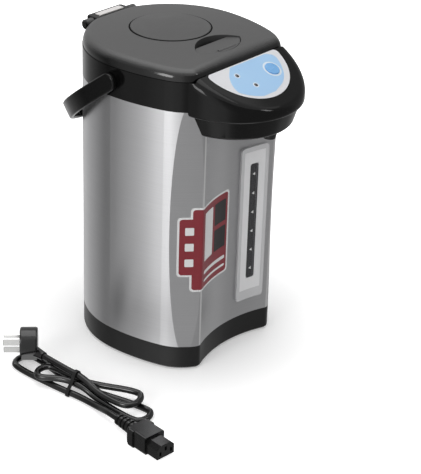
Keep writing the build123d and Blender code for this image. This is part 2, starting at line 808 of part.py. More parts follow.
def lid_face(inset):
    """Plan of the lid: the body's round back and flanks, cut straight across the front."""
    turn = turn_arc()
    bend_r = turn.radius - inset
    round_r = body_r - inset
    front = panel_back - lid_front_gap + lid_inset - inset
    knee = turn.arc_center + (turn @ 0 - turn.arc_center).normalized() * bend_r
    corner_at = turn.arc_center.X + math.sqrt(bend_r ** 2 - (front + turn.arc_center.Y) ** 2)
    edges = [ThreePointArc((round_r, 0), (0, round_r), (-round_r, 0))]
    for side in (1, -1):
        flank = TangentArc((side * round_r, 0), (side * knee.X, knee.Y), tangent=(0, -1))
        edges.append(flank)
        edges.append(TangentArc(flank @ 1, (side * corner_at, -front), tangent=flank % 1))
    edges.append(Line((-corner_at, -front), (corner_at, -front)))
    face = make_face(edges)
    return fillet(face.vertices().sort_by(Axis.Y)[:2], lid_corner_r - inset)


def lid_block(inset, low):
    """Domed lid form over its plan, set in by a distance."""
    dome_r = (body_r ** 2 + lid_rise ** 2) / (2 * lid_rise)
    block = prism(lid_face(lid_inset + inset), low, lid_top_z + lid_rise)
    return block & Pos(0, 0, lid_top_z - dome_r) * Sphere(dome_r - inset)


def recess_face(shrink):
    """Lens-shaped finger recess in plan, set in by a distance."""
    half = recess_half_w - shrink
    back = ThreePointArc((-half, -recess_y), (0, -shrink - recess_back_y), (half, -recess_y))
    fore = ThreePointArc((-half, -recess_y), (0, shrink - recess_front_y), (half, -recess_y))
    return make_face([back, fore])


def lid():
    """Lid cover with its finger recess and hinge ears, and the plug and gasket below it."""
    low = deck_z + lid_gap
    high = lid_top_z + lid_rise
    outer = lid_block(0, low)
    outer = fillet(outer.faces().sort_by(Axis.Z)[-1].edges(), lid_round)
    cover = outer - lid_block(lid_wall, low - overrun)
    cup = prism(recess_face(-recess_wall), recess_floor_z - recess_wall, high) & outer
    cover = cover + cup - prism(recess_face(0), recess_floor_z, high)
    flange_top = low + plug_wall
    for angle in lid_post_angles:
        spot = Vector(0, lid_post_ring_r, 0).rotate(Axis.Z, angle)
        cover = cover + (Pos(spot.X, spot.Y, 0) * prism(Circle(lid_post_r), flange_top, high) & outer)
    cover = cover - Pos(0, disc_y, 0) * prism(Circle(disc_r + disc_gap), low - overrun, high)
    notch = Pos(0, hinge_block_front - hinge_notch_gap, 0) * Box(
        hinge_block_w + 2 * hinge_side_gap, body_r, 4 * high, align=(Align.CENTER, Align.MIN, Align.CENTER))
    cover = cover - notch
    for side in (1, -1):
        at = side * (hinge_block_w / 2 + hinge_side_gap + hinge_ear_w / 2)
        ear = Pos(at, hinge_y, hinge_z) * Rot(0, 90, 0) * Cylinder(hinge_ear_r, hinge_ear_w)
        cover = cover + ear
    cover = cover - Pos(0, hinge_y, hinge_z) * Rot(0, 90, 0) * Cylinder(hinge_pin_r + running_gap, 4 * body_r)
    pin_bore = Pos(0, -flap_pin_y, flap_z + flap_t / 2) * Rot(0, 90, 0)
    bore_l = flap_pin_length + 2 * seat_gap
    pieces["lid_cover"] = cover - pin_bore * Cylinder(flap_pin_r + running_gap, bore_l)

    straight = prism(Circle(plug_r), plug_straight_z, low)
    taper_h = plug_straight_z - plug_bottom_z
    taper = Pos(0, 0, plug_bottom_z) * Cone(plug_tip_r, plug_r, taper_h, align=from_base)
    flange = prism(Circle(plug_flange_r), low, flange_top)
    well = prism(Circle(plug_r - plug_wall), plug_straight_z, flange_top + overrun)
    well_taper = Pos(0, 0, plug_bottom_z + plug_wall) * Cone(
        plug_tip_r - plug_wall, plug_r - plug_wall, taper_h - plug_wall, align=from_base)
    pieces["lid_plug"] = straight + taper + flange - well - well_taper
    ring = Circle(gasket_r) - Circle(plug_r)
    gasket = prism(ring, gasket_bottom_z, gasket_bottom_z + gasket_t)
    lip = gasket.edges().group_by(Axis.Z)[0].sort_by(SortBy.LENGTH)[-1:]
    pieces["lid_gasket"] = chamfer(lip, gasket_t / 2)


def lid_lever():
    """Finger flap that releases the lid, on a pin across the front of the recess."""
    half = 2 * recess_half_w
    keep = Pos(0, -flap_back_y) * Rectangle(half, half, align=(Align.CENTER, Align.MAX))
    flap = prism(recess_face(flap_gap) & keep, flap_z, flap_z + flap_t)
    at = Pos(0, -flap_pin_y, flap_z + flap_t / 2) * Rot(0, 90, 0)
    flap = flap + at * Cylinder(flap_barrel_r, flap_barrel_l)
    pieces["lid_lever"] = flap - at * Cylinder(flap_pin_r + running_gap, 2 * flap_pin_length)
    pieces["lid_lever_pin"] = at * Cylinder(flap_pin_r, flap_pin_length)


def run_on(start, end, leave):
    """Arc from start to end that leaves along a direction, or a line where they agree."""
    way = (end - start).normalized()
    if way.dot(leave) > straight_share:
        return Line(start, end)
    return TangentArc(start, end, tangent=leave)


def biarc_path(points, tangents):
    """Tangent arcs, two between each pair of points, that leave and arrive along the tangents."""
    edges = []
    for i in range(len(points) - 1):
        leave = tangents[i].normalized()
        arrive = tangents[i + 1].normalized()
        chord = points[i + 1] - points[i]
        spread = 2 * (1 - leave.dot(arrive))
        lean = chord.dot(leave + arrive)
        if leave.dot(arrive) > straight_share:
            pull = chord.dot(chord) / (2 * lean)
        else:
            pull = (math.sqrt(lean ** 2 + spread * chord.dot(chord)) - lean) / spread
        middle = (points[i] + points[i + 1] + (leave - arrive) * pull) / 2
        first = run_on(points[i], middle, leave)
        edges.append(first)
        edges.append(run_on(middle, points[i + 1], first % 1))
    return Wire(edges)


def hand_pump():
    """Press disc on the lid, with the air bellows and the return spring under it."""
    under_z = disc_top_z - disc_crown - disc_wall
    crown_r = (disc_r ** 2 + disc_crown ** 2) / (2 * disc_crown)
    at = Pos(0, disc_y, 0)
    cap = prism(Circle(disc_r), disc_skirt_z, disc_top_z)
    cap = cap & Pos(0, 0, disc_top_z - crown_r) * Sphere(crown_r)
    cap = cap - prism(Circle(disc_r - disc_wall), disc_skirt_z - overrun, under_z)
    seat = Circle(bellows_r) - Circle(bellows_r - bellows_fold)
    pieces["press_disc"] = at * (cap + prism(seat, bellows_top_z, under_z))

    floor_z = plug_bottom_z + plug_wall
    step = (bellows_top_z - floor_z) / (2 * bellows_folds)
    outside = []
    for i in range(2 * bellows_folds + 1):
        radius = bellows_r - (bellows_fold if i % 2 else 0)
        outside.append((radius, floor_z + i * step))
    inside = [(radius - bellows_wall, z) for radius, z in reversed(outside)]
    profile = make_face(Polyline(outside + inside, close=True))
    pieces["bellows"] = at * revolve(Plane.XZ * profile, Axis.Z)

    low = floor_z + spring_wire + spring_end_gap
    rise = under_z - spring_wire - spring_end_gap - low
    count = 4 * spring_turns
    points = []
    tangents = []
    for i in range(count + 1):
        angle = math.pi / 2 * i
        spoke = Vector(math.cos(angle), math.sin(angle), 0)
        points.append(spoke * spring_r + Vector(0, 0, low + rise * i / count))
        climb = rise / (2 * math.pi * spring_turns)
        tangents.append(Vector(-spoke.Y * spring_r, spoke.X * spring_r, climb))
    pieces["press_spring"] = at * tube(biarc_path(points, tangents), spring_wire, 0)


def lid_hinge():
    """Rear hinge block with its pin and the blank pale strip on top."""
    depth = hinge_block_back - hinge_block_front
    block = Pos(0, hinge_block_front, hinge_block_bottom_z) * Box(
        hinge_block_w, depth, hinge_block_top_z - hinge_block_bottom_z,
        align=(Align.CENTER, Align.MIN, Align.MIN))
    block = fillet(block.edges().filter_by(Axis.Z).sort_by(Axis.Y)[2:], hinge_block_round)
    block = fillet(block.faces().sort_by(Axis.Z)[-1].edges(), hinge_block_round / 2)
    block = block - prism(outline(0), hinge_block_bottom_z - overrun, hinge_block_bottom_z)
    across = Pos(0, hinge_y, hinge_z) * Rot(0, 90, 0)
    pieces["hinge_block"] = block - across * Cylinder(hinge_pin_r + running_gap, 2 * hinge_block_w)
    pieces["hinge_pin"] = across * Cylinder(hinge_pin_r, hinge_pin_length)
    strip_at = Pos(0, (hinge_block_front + hinge_block_back) / 2, hinge_block_top_z)
    pieces["hinge_strip"] = strip_at * extrude(RectangleRounded(strip_w, strip_l, strip_t), strip_t)


def u_face(radius, arm):
    """Arch in plan: a half disc on two straight legs that start at the pivot line."""
    legs = Rectangle(2 * radius, arm, align=(Align.CENTER, Align.MIN))
    bow = Pos(0, arm) * Circle(radius) & Pos(0, arm) * Rectangle(
        2 * radius, radius, align=(Align.CENTER, Align.MIN))
    return legs + bow


def handle():
    """Strap handle that hangs behind the pot on two pivots at the collar."""
    outer_r = handle_half_w + strap_t / 2
    inner_r = handle_half_w - strap_t / 2
    inner = Pos(0, -overrun) * u_face(inner_r, handle_arm + overrun)
    strap = extrude(u_face(outer_r, handle_arm) - inner, strap_w / 2, both=True)
    long_edges = strap.faces().sort_by(Axis.Z)[0].edges() + strap.faces().sort_by(Axis.Z)[-1].edges()
    strap = fillet(long_edges.filter_by(Axis.X, reverse=True), strap_round)
    for side in (1, -1):
        end = Pos(side * handle_half_w, 0, 0) * Rot(0, 90, 0)
        knob = Cylinder(strap_w / 2, strap_t)
        strap = strap + end * fillet(knob.edges().filter_by(GeomType.CIRCLE), strap_round)
        bore_at = Pos(-side * pivot_cap, 0, 0) * end
        strap = strap - bore_at * Cylinder(pivot_pin_r + running_gap, strap_t)
    place = Pos(0, pivot_y, pivot_z) * Rot(-handle_hang, 0, 0)
    pieces["handle"] = place * strap
    pins = []
    for side in (1, -1):
        inner_end = body_r - collar_wall
        outer_end = outer_r - pivot_cap - seat_gap
        pin = Cylinder(pivot_pin_r, outer_end - inner_end, align=from_base)
        pins.append(Pos(side * inner_end, pivot_y, pivot_z) * Rot(0, side * 90, 0) * pin)
    pieces["handle_pivots"] = Compound(children=pins)


waist_way = Vector(1, 0, 0).rotate(Axis.Z, waist_turn)
waist_side = waist_way.rotate(Axis.Z, 90)
layers = [cord_d / 2 + i * layer_step for i in range(3)]


def hank_spot(along, aside, z):
    """Place on the floor beside the pot, measured along and across the hank."""
    return Vector(waist_at[0], waist_at[1], z) + waist_way * along + waist_side * aside


def loop_end(facing, reach, radius, yaw, z):
    """Three points and directions round one end of a loop, turned out by its own yaw."""
    out = waist_way.rotate(Axis.Z, yaw) * facing
    left = out.rotate(Axis.Z, 90)
    middle = hank_spot(0, 0, z) + out * (reach - radius)
    points = [middle - left * radius, middle + out * radius, middle + left * radius]
    return points, [out, left, out * -1]


prong_at = hank_spot(prong_along, prong_aside, cord_d + rest_gap)
boot_way = (hank_spot(0, 0, 0) - hank_spot(prong_along, prong_aside, 0)).normalized()
boot_start = hank_spot(prong_along, prong_aside, layers[2])
relief_way = Vector(1, 0, 0).rotate(Axis.Z, connector_turn)
relief_at = hank_spot(relief_along, relief_aside, connector_h / 2)


def lead_cord():
    """The whole lead as one unbroken tube: two loops at either end of the waist and two tails."""
    boot_tip = boot_start + boot_way * boot_reach
    points = [boot_tip, boot_tip + boot_way * end_straight, hank_spot(0, 0, layers[2])]
    tangents = [boot_way, boot_way, waist_way]
    for i in range(2):
        layer = layers[1 - i]
        points.append(hank_spot(drop_run, -drop_aside, layer))
        tangents.append(waist_way)
        end_points, end_ways = loop_end(1, far_reaches[i], far_radii[i], far_yaws[i], layer)
        points.extend(end_points)
        tangents.extend(end_ways)
        points.append(hank_spot(0, column, layer))
        tangents.append(waist_way * -1)
        end_points, end_ways = loop_end(-1, near_reaches[i], near_radii[i], near_yaws[i], layer)
        points.extend(end_points)
        tangents.extend(end_ways)
        points.append(hank_spot(0, -(exit_column if i else column), layer))
        tangents.append(waist_way)
    points.extend([relief_at - relief_way * end_straight, relief_at])
    tangents.extend([relief_way, relief_way])
    path = biarc_path(points, tangents)
    pieces["mains_cord"] = tube(path, cord_d / 2, 0)
    radii = [edge.radius for edge in path.edges() if edge.geom_type == GeomType.CIRCLE]
    print("mains_cord length", round(path.length, 1), "least radius", round(min(radii), 1))
    share = pieces["mains_cord"].volume / (path.length * math.pi * cord_d ** 2 / 4)
    print("mains_cord volume over section times length", round(share, 4))
    least_gap(path)


def least_gap(path):
    """Print the least clear gap between two turns of the cord, measured on points of its path."""
    count = round(path.length / 2)
    spots = [path @ (i / count) for i in range(count + 1)]
    window = round(2 * cord_d * count / path.length)
    least = path.length
    for i in range(count + 1):
        for j in range(i + window, count + 1):
            least = min(least, (spots[i] - spots[j]).length)
    print("mains_cord least gap to itself", round(least - cord_d, 2))


def lead_ends():
    """Mains plug with its boot and blades, appliance connector with its ribbed relief, and the tie."""
    prong_way = Vector(1, 0, 0).rotate(Axis.Z, prong_turn)
    face = Plane(origin=prong_at, x_dir=prong_way.rotate(Axis.Z, 90), z_dir=prong_way)
    head_y = prong_body_h - prong_head_r
    lean = math.asin((prong_head_r - prong_foot_r) / (head_y - prong_foot_r))
    normal = Vector(math.cos(lean), -math.sin(lean), 0)
    corners = []
    for side in (1, -1):
        flip = Vector(side * normal.X, normal.Y, 0)
        high = Vector(0, head_y, 0) + flip * prong_head_r
        low = Vector(0, prong_foot_r, 0) + flip * prong_foot_r
        corners.extend([high, low] if side > 0 else [low, high])
    drop = make_face(Polyline([(spot.X, spot.Y) for spot in corners], close=True))
    drop = drop + Pos(0, head_y) * Circle(prong_head_r) + Pos(0, prong_foot_r) * Circle(prong_foot_r)
    body = extrude(drop, prong_depth / 2, both=True)
    rims = body.faces().sort_by(Axis.Z)[-1].edges() + body.faces().sort_by(Axis.Z)[0].edges()
    body = fillet(rims, prong_round)
    foot = Rectangle(4 * prong_head_r, 2 * prong_foot_cut)
    body = Pos(0, -prong_foot_cut, 0) * (body - extrude(foot, prong_depth, both=True))
    boot_plane = Plane(origin=boot_start, x_dir=boot_way.rotate(Axis.Z, 90), z_dir=boot_way)
    boot = boot_plane * Cone(boot_r, boot_tip_r, boot_reach, align=from_base)
    pieces["plug_body"] = face * body + boot
    blades = []
    line = (prong_spread, prong_y, prong_slant)
    neutral = (-prong_spread, prong_y, -prong_slant)
    for x, y, slant in (line, neutral, (0, earth_y, 0)):
        blade = extrude(Rectangle(prong_t, prong_w, rotation=slant), prong_length)
        blade = chamfer(blade.faces().sort_by(Axis.Z)[-1].edges(), prong_t / 4)
        blades.append(face * Pos(x, y - prong_foot_cut, prong_depth / 2) * blade)
    pieces["plug_pins"] = Compound(children=blades)

    axis = Plane(origin=relief_at, x_dir=Vector(0, 0, 1).cross(relief_way), z_dir=relief_way)
    relief = Cone(relief_tip_r, relief_r, relief_length, align=from_base)
    pitch = relief_length / relief_ribs
    for i in range(relief_ribs):
        along = (i + 1 / 2) * pitch
        radius = relief_tip_r + (relief_r - relief_tip_r) * along / relief_length + rib_rise
        relief = relief + Pos(0, 0, along - rib_w / 2) * Cylinder(radius, rib_w, align=from_base)
    pieces["connector_relief"] = axis * relief
    block = extrude(RectangleRounded(connector_w, connector_h, connector_round), connector_body)
    block = fillet(block.faces().sort_by(Axis.Z)[0].edges(), connector_round / 2)
    grip = RectangleRounded(connector_w + 2 * grip_rise, connector_h, connector_round)
    block = block + Pos(0, 0, grip_at) * extrude(grip, grip_w)
    nose = chamfer(
        Rectangle(connector_nose_w, connector_nose_h).vertices().sort_by(Axis.Y)[2:], connector_chamfer)
    block = block + Pos(0, 0, connector_body) * extrude(nose, connector_nose)
    tip = connector_body + connector_nose
    for u, rise in ((-blade_offset, -blade_rise), (0, blade_rise), (blade_offset, -blade_rise)):
        slot = Rectangle(blade_thick + 2 * seat_gap, blade_w + 2 * seat_gap)
        block = block - Pos(u, rise, tip - connector_slot) * extrude(slot, connector_slot + overrun)
    pieces["appliance_connector"] = axis * Pos(0, 0, relief_length) * block

    section = Plane(origin=hank_spot(0, 0, 0), x_dir=waist_side, z_dir=waist_way)
    low = layers[0]
    hull = [(-exit_column, low), (column, low), (column, layers[1]), (0, layers[2]), (-column, layers[1])]
    around = make_face(Polyline(hull, close=True))
    outer = offset(around, cord_d / 2 + tie_gap + tie_t, kind=Kind.ARC)
    inner = offset(around, cord_d / 2 + tie_gap, kind=Kind.ARC)
    floor_cut = Rectangle(8 * exit_column, 8 * exit_column, align=(Align.CENTER, Align.MAX))
    band = extrude(outer - inner - floor_cut, tie_w / 2, both=True)
    pieces["hank_tie"] = section * band


def export_all():
    """One file for each named piece."""
    for name, solid in pieces.items():
        export_step(solid, os.path.join("parts", name + ".step"))


base()
casing()
gauge()
shoulder()
chin()
panel()
vessel()
pump()
mains_inlet()
lid()
lid_lever()
hand_pump()
lid_hinge()
handle()
lead_cord()
lead_ends()
export_all()
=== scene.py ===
# %% [markdown]
# # Dressing an electric airpot
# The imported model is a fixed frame: it holds every shape, size and joint. This script gives the
# frame its looks: the steel, the black mouldings, the printed panel, the water gauge and the lead.

# %% Load the frame
import json
import math

import bmesh
import bpy
from mathutils import Matrix, Vector
from mathutils.bvhtree import BVHTree


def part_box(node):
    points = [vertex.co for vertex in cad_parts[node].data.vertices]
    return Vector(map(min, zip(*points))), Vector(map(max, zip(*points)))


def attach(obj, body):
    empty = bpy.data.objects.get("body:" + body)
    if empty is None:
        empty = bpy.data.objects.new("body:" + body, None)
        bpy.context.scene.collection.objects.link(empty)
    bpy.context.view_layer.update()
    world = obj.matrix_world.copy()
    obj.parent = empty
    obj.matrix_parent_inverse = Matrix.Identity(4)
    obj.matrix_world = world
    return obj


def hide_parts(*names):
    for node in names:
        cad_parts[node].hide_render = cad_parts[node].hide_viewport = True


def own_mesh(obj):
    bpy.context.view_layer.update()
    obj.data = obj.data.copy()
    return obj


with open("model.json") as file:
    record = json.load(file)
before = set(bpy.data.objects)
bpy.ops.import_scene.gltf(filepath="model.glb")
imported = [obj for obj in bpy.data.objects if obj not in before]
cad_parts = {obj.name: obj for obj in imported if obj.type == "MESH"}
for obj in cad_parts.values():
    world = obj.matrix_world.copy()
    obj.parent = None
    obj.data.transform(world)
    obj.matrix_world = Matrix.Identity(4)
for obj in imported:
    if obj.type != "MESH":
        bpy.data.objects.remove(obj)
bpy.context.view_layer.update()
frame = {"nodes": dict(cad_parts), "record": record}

body_of_node = {}
for body, nodes in frame["record"]["behaviour"]["bodies"].items():
    for node in nodes:
        body_of_node[node] = body

# %% [markdown]
# ## Camera
# The pot is seen from above its left front corner through a long lens. The place and the three
# directions were found by matching known points of the pot with where they lie in the picture, so
# they are written as a matrix. A tracking constraint would lose the small roll of the picture.

# %% Camera
def put_in_scene(name, data):
    """New object that holds the data, linked to the scene."""
    piece = bpy.data.objects.new(name, data)
    bpy.context.scene.collection.objects.link(piece)
    return piece


camera_at = Vector((-1.1731, -1.0367, 0.9167))
camera_right = Vector((0.6518, -0.7578, 0.0301))
camera_up = Vector((0.3256, 0.3154, 0.8913))
camera_back = camera_right.cross(camera_up)
focal_px = 1573.4
picture_px = 474
focal_share = focal_px / picture_px

camera_data = bpy.data.cameras.new("photo_camera")
camera_data.sensor_width = 36.0
camera_data.lens = camera_data.sensor_width * focal_share
camera_data.shift_x = 0.001
camera_data.shift_y = -0.0301
camera = put_in_scene("photo_camera", camera_data)
turn = Matrix((camera_right, camera_up, camera_back)).transposed().to_4x4()
camera.matrix_world = Matrix.Translation(camera_at) @ turn
bpy.context.scene.camera = camera
print("lens", round(camera_data.lens, 1), "mm")

# %% [markdown]
# ## Mains lead
# The lead is a 7 mm round cable, tied into a figure of two loops either side of a waist. It could
# be simulated, but a tied hank keeps the shape that its packer gave it. One NURBS spline follows
# the route. At each loop end four control points stand on an octagon round the bend, so the spline
# touches the circle between them and the bend comes out round. The bevel is a unit circle and each
# point's radius scales it to the cable.

# %% Lead route
cord_d = 0.007
waist_at = Vector((-0.181, -0.033, 0.0))
waist_turn = math.radians(-83.0)
layer_rise = 0.008
layers = [cord_d / 2 + layer_rise * i for i in range(3)]
column = 0.004
exit_column = 0.012
far_ends = [(0.076, 0.016, 6.0), (0.094, 0.014, -1.0)]
near_ends = [(0.046, 0.013, 8.0), (0.086, 0.015, -6.0)]
octagon_angles = [-67.5, -22.5, 22.5, 67.5]
octagon_share = 1 / math.cos(math.radians(22.5))


def flat_way(angle):
    """Unit direction on the floor at an angle from the hank's own direction."""
    return Vector((math.cos(waist_turn + angle), math.sin(waist_turn + angle), 0.0))


waist_way = flat_way(0)
waist_side = flat_way(math.pi / 2)


def hank_spot(along, aside, height):
    """Place beside the pot, measured along and across the hank."""
    return waist_at + waist_way * along + waist_side * aside + Vector((0, 0, height))


def loop_bend(facing, end, height):
    """Four control points round one end of a loop."""
    reach, radius, yaw = end
    out = flat_way(math.radians(yaw)) * facing
    left = Vector((-out.y, out.x, 0.0))
    middle = hank_spot(0, 0, height) + out * (reach - radius)
    spots = []
    for angle in octagon_angles:
        swing = math.radians(angle)
        spoke = out * math.cos(swing) + left * math.sin(swing)
        spots.append(middle + spoke * radius * octagon_share)
    return spots


plug_spot = hank_spot(-0.074, 0.012, layers[2])
boot_length = 0.024
boot_way = (hank_spot(0, 0, layers[2]) - plug_spot).normalized()
boot_tip = plug_spot + boot_way * boot_length
relief_turn = math.radians(-96.0)
relief_way = Vector((math.cos(relief_turn), math.sin(relief_turn), 0.0))
relief_tip = hank_spot(0.076, -0.0285, 0.010)

# From the plug's boot over the waist, twice round both loops, and out to the strain relief.
route = [boot_tip, boot_tip + boot_way * 0.012, hank_spot(-0.015, 0.0022, layers[2])]
route += [hank_spot(0.012, -0.001, layers[2]), hank_spot(0.032, -0.0045, layers[1])]
for i in range(2):
    height = layers[1 - i]
    if i:
        route += [hank_spot(0.012, -0.0042, layers[1]), hank_spot(0.032, -0.0055, layers[0])]
    route += loop_bend(1, far_ends[i], height)
    route += [hank_spot(0.016, 0.0045, height), hank_spot(-0.012, column, height)]
    route += loop_bend(-1, near_ends[i], height)
    side = exit_column if i else column
    route += [hank_spot(-0.014, -side, height)]
route += [hank_spot(0.014, -exit_column, layers[0]), hank_spot(0.042, -0.017, 0.0045)]
route += [relief_tip - relief_way * 0.016, relief_tip - relief_way * 0.006, relief_tip]
route.reverse()
print("lead control points", len(route))

# %% Lead spline
lead_curve = bpy.data.curves.new("mains_lead", "CURVE")
lead_curve.dimensions = "3D"
lead_curve.bevel_depth = 1.0
lead_curve.bevel_resolution = 5
lead_curve.resolution_u = 10
lead_curve.use_fill_caps = True
spline = lead_curve.splines.new("NURBS")
spline.points.add(len(route) - 1)
for point, spot in zip(spline.points, route):
    point.co = (spot.x, spot.y, spot.z, 1.0)
    point.radius = cord_d / 2
spline.order_u = 3
spline.use_endpoint_u = True
mains_lead = put_in_scene("mains_lead", lead_curve)
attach(mains_lead, "pot")
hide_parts("mains_cord")

# %% [markdown]
# ## Shared finish groups
# Several finishes need the same small irregularities. Each is a node group, built once: a drift of
# tone, a patchy gloss where hands have been, a moulded grain, the lines of a brushed sheet and a
# fade by height for the lid, which also paints shade in the lid's finger recess. They all read
# Object coordinates, so the pattern stays put when the piece moves.

# %% Group helper
def finish_group(title, inputs, outputs):
    """Empty node group with named sockets. Returns the group and its input and output nodes."""
    group = bpy.data.node_groups.new(title, "ShaderNodeTree")
    for label, kind, value in inputs:
        socket = group.interface.new_socket(label, in_out="INPUT", socket_type=kind)
        socket.default_value = value
    for label, kind in outputs:
        group.interface.new_socket(label, in_out="OUTPUT", socket_type=kind)
    return group, group.nodes.new("NodeGroupInput"), group.nodes.new("NodeGroupOutput")


NUMBER = "NodeSocketFloat"
COLOUR = "NodeSocketColor"
# The colour sockets of a Mix node are told by their places, because its kinds share their names.
MIX_A, MIX_B, MIX_RESULT = 6, 7, 2

# %% Tone drift
tone_drift, entry, leave = finish_group(
    "tone_drift",
    [("Light", COLOUR, (0.5, 0.5, 0.5, 1)), ("Dark", COLOUR, (0.4, 0.4, 0.4, 1)),
     ("Scale", NUMBER, 20.0)],
    [("Color", COLOUR)])
place = tone_drift.nodes.new("ShaderNodeTexCoord")
cloud = tone_drift.nodes.new("ShaderNodeTexNoise")
cloud.inputs["Detail"].default_value = 4.0
blend = tone_drift.nodes.new("ShaderNodeMix")
blend.data_type = "RGBA"
tone_drift.links.new(place.outputs["Object"], cloud.inputs["Vector"])
tone_drift.links.new(entry.outputs["Scale"], cloud.inputs["Scale"])
tone_drift.links.new(cloud.outputs["Fac"], blend.inputs["Factor"])
tone_drift.links.new(entry.outputs["Light"], blend.inputs[MIX_A])
tone_drift.links.new(entry.outputs["Dark"], blend.inputs[MIX_B])
tone_drift.links.new(blend.outputs[MIX_RESULT], leave.inputs["Color"])
print("group", tone_drift.name)

# %% Patchy gloss
patchy_gloss, entry, leave = finish_group(
    "patchy_gloss",
    [("Low", NUMBER, 0.3), ("High", NUMBER, 0.4), ("Scale", NUMBER, 25.0)],
    [("Roughness", NUMBER)])
place = patchy_gloss.nodes.new("ShaderNodeTexCoord")
cloud = patchy_gloss.nodes.new("ShaderNodeTexNoise")
cloud.inputs["Detail"].default_value = 5.0
spread = patchy_gloss.nodes.new("ShaderNodeMapRange")
spread.inputs["From Min"].default_value = 0.3
spread.inputs["From Max"].default_value = 0.7
patchy_gloss.links.new(place.outputs["Object"], cloud.inputs["Vector"])
patchy_gloss.links.new(entry.outputs["Scale"], cloud.inputs["Scale"])
patchy_gloss.links.new(cloud.outputs["Fac"], spread.inputs["Value"])
patchy_gloss.links.new(entry.outputs["Low"], spread.inputs["To Min"])
patchy_gloss.links.new(entry.outputs["High"], spread.inputs["To Max"])
patchy_gloss.links.new(spread.outputs["Result"], leave.inputs["Roughness"])
print("group", patchy_gloss.name)

# %% Moulded grain
moulded_grain, entry, leave = finish_group(
    "moulded_grain", [("Scale", NUMBER, 900.0)], [("Height", NUMBER)])
place = moulded_grain.nodes.new("ShaderNodeTexCoord")
speck = moulded_grain.nodes.new("ShaderNodeTexNoise")
speck.inputs["Detail"].default_value = 3.0
speck.inputs["Roughness"].default_value = 0.6
moulded_grain.links.new(place.outputs["Object"], speck.inputs["Vector"])
moulded_grain.links.new(entry.outputs["Scale"], speck.inputs["Scale"])
moulded_grain.links.new(speck.outputs["Fac"], leave.inputs["Height"])
print("group", moulded_grain.name)

# %% Brush lines
brush_lines, entry, leave = finish_group(
    "brush_lines",
    [("Light", COLOUR, (0.6, 0.6, 0.6, 1)), ("Dark", COLOUR, (0.5, 0.5, 0.5, 1)),
     ("Along", NUMBER, 12.0), ("Across", NUMBER, 2600.0)],
    [("Color", COLOUR), ("Height", NUMBER)])
place = brush_lines.nodes.new("ShaderNodeTexCoord")
stretch = brush_lines.nodes.new("ShaderNodeCombineXYZ")
squeeze = brush_lines.nodes.new("ShaderNodeVectorMath")
squeeze.operation = "MULTIPLY"
scratch = brush_lines.nodes.new("ShaderNodeTexNoise")
scratch.inputs["Scale"].default_value = 1.0
scratch.inputs["Detail"].default_value = 3.0
blend = brush_lines.nodes.new("ShaderNodeMix")
blend.data_type = "RGBA"
brush_lines.links.new(entry.outputs["Along"], stretch.inputs["X"])
brush_lines.links.new(entry.outputs["Along"], stretch.inputs["Y"])
brush_lines.links.new(entry.outputs["Across"], stretch.inputs["Z"])
brush_lines.links.new(place.outputs["Object"], squeeze.inputs[0])
brush_lines.links.new(stretch.outputs["Vector"], squeeze.inputs[1])
brush_lines.links.new(squeeze.outputs["Vector"], scratch.inputs["Vector"])
brush_lines.links.new(scratch.outputs["Fac"], blend.inputs["Factor"])
brush_lines.links.new(entry.outputs["Dark"], blend.inputs[MIX_A])
brush_lines.links.new(entry.outputs["Light"], blend.inputs[MIX_B])
brush_lines.links.new(blend.outputs[MIX_RESULT], leave.inputs["Color"])
brush_lines.links.new(scratch.outputs["Fac"], leave.inputs["Height"])
print("group", brush_lines.name)

# %% Rim fade and painted recess shade
# The Rim colour darkens everything below the fade: the rolled rim, and the floor of the finger
# recess, where it is painted shade.
rim_fade_and_recess_shade, entry, leave = finish_group(
    "rim_fade_and_recess_shade",
    [("Top", COLOUR, (0.05, 0.05, 0.05, 1)), ("Rim", COLOUR, (0.01, 0.01, 0.01, 1)),
     ("Top Roughness", NUMBER, 0.4), ("Rim Roughness", NUMBER, 0.2),
     ("Low", NUMBER, 0.0), ("High", NUMBER, 1.0)],
    [("Color", COLOUR), ("Roughness", NUMBER)])
place = rim_fade_and_recess_shade.nodes.new("ShaderNodeTexCoord")
apart = rim_fade_and_recess_shade.nodes.new("ShaderNodeSeparateXYZ")
cloud = rim_fade_and_recess_shade.nodes.new("ShaderNodeTexNoise")
cloud.inputs["Scale"].default_value = 60.0
wander = rim_fade_and_recess_shade.nodes.new("ShaderNodeMath")
wander.operation = "MULTIPLY_ADD"
wander_height = 0.0015
wander.inputs[1].default_value = wander_height
share = rim_fade_and_recess_shade.nodes.new("ShaderNodeMapRange")
share.interpolation_type = "SMOOTHSTEP"
blend = rim_fade_and_recess_shade.nodes.new("ShaderNodeMix")
blend.data_type = "RGBA"
rough = rim_fade_and_recess_shade.nodes.new("ShaderNodeMix")
rim_fade_and_recess_shade.links.new(place.outputs["Object"], apart.inputs["Vector"])
rim_fade_and_recess_shade.links.new(place.outputs["Object"], cloud.inputs["Vector"])
rim_fade_and_recess_shade.links.new(cloud.outputs["Fac"], wander.inputs[0])
rim_fade_and_recess_shade.links.new(apart.outputs["Z"], wander.inputs[2])
rim_fade_and_recess_shade.links.new(wander.outputs["Value"], share.inputs["Value"])
rim_fade_and_recess_shade.links.new(entry.outputs["Low"], share.inputs["From Min"])
rim_fade_and_recess_shade.links.new(entry.outputs["High"], share.inputs["From Max"])
rim_fade_and_recess_shade.links.new(share.outputs["Result"], blend.inputs["Factor"])
rim_fade_and_recess_shade.links.new(entry.outputs["Rim"], blend.inputs[MIX_A])
rim_fade_and_recess_shade.links.new(entry.outputs["Top"], blend.inputs[MIX_B])
rim_fade_and_recess_shade.links.new(share.outputs["Result"], rough.inputs["Factor"])
rim_fade_and_recess_shade.links.new(entry.outputs["Rim Roughness"], rough.inputs["A"])
rim_fade_and_recess_shade.links.new(entry.outputs["Top Roughness"], rough.inputs["B"])
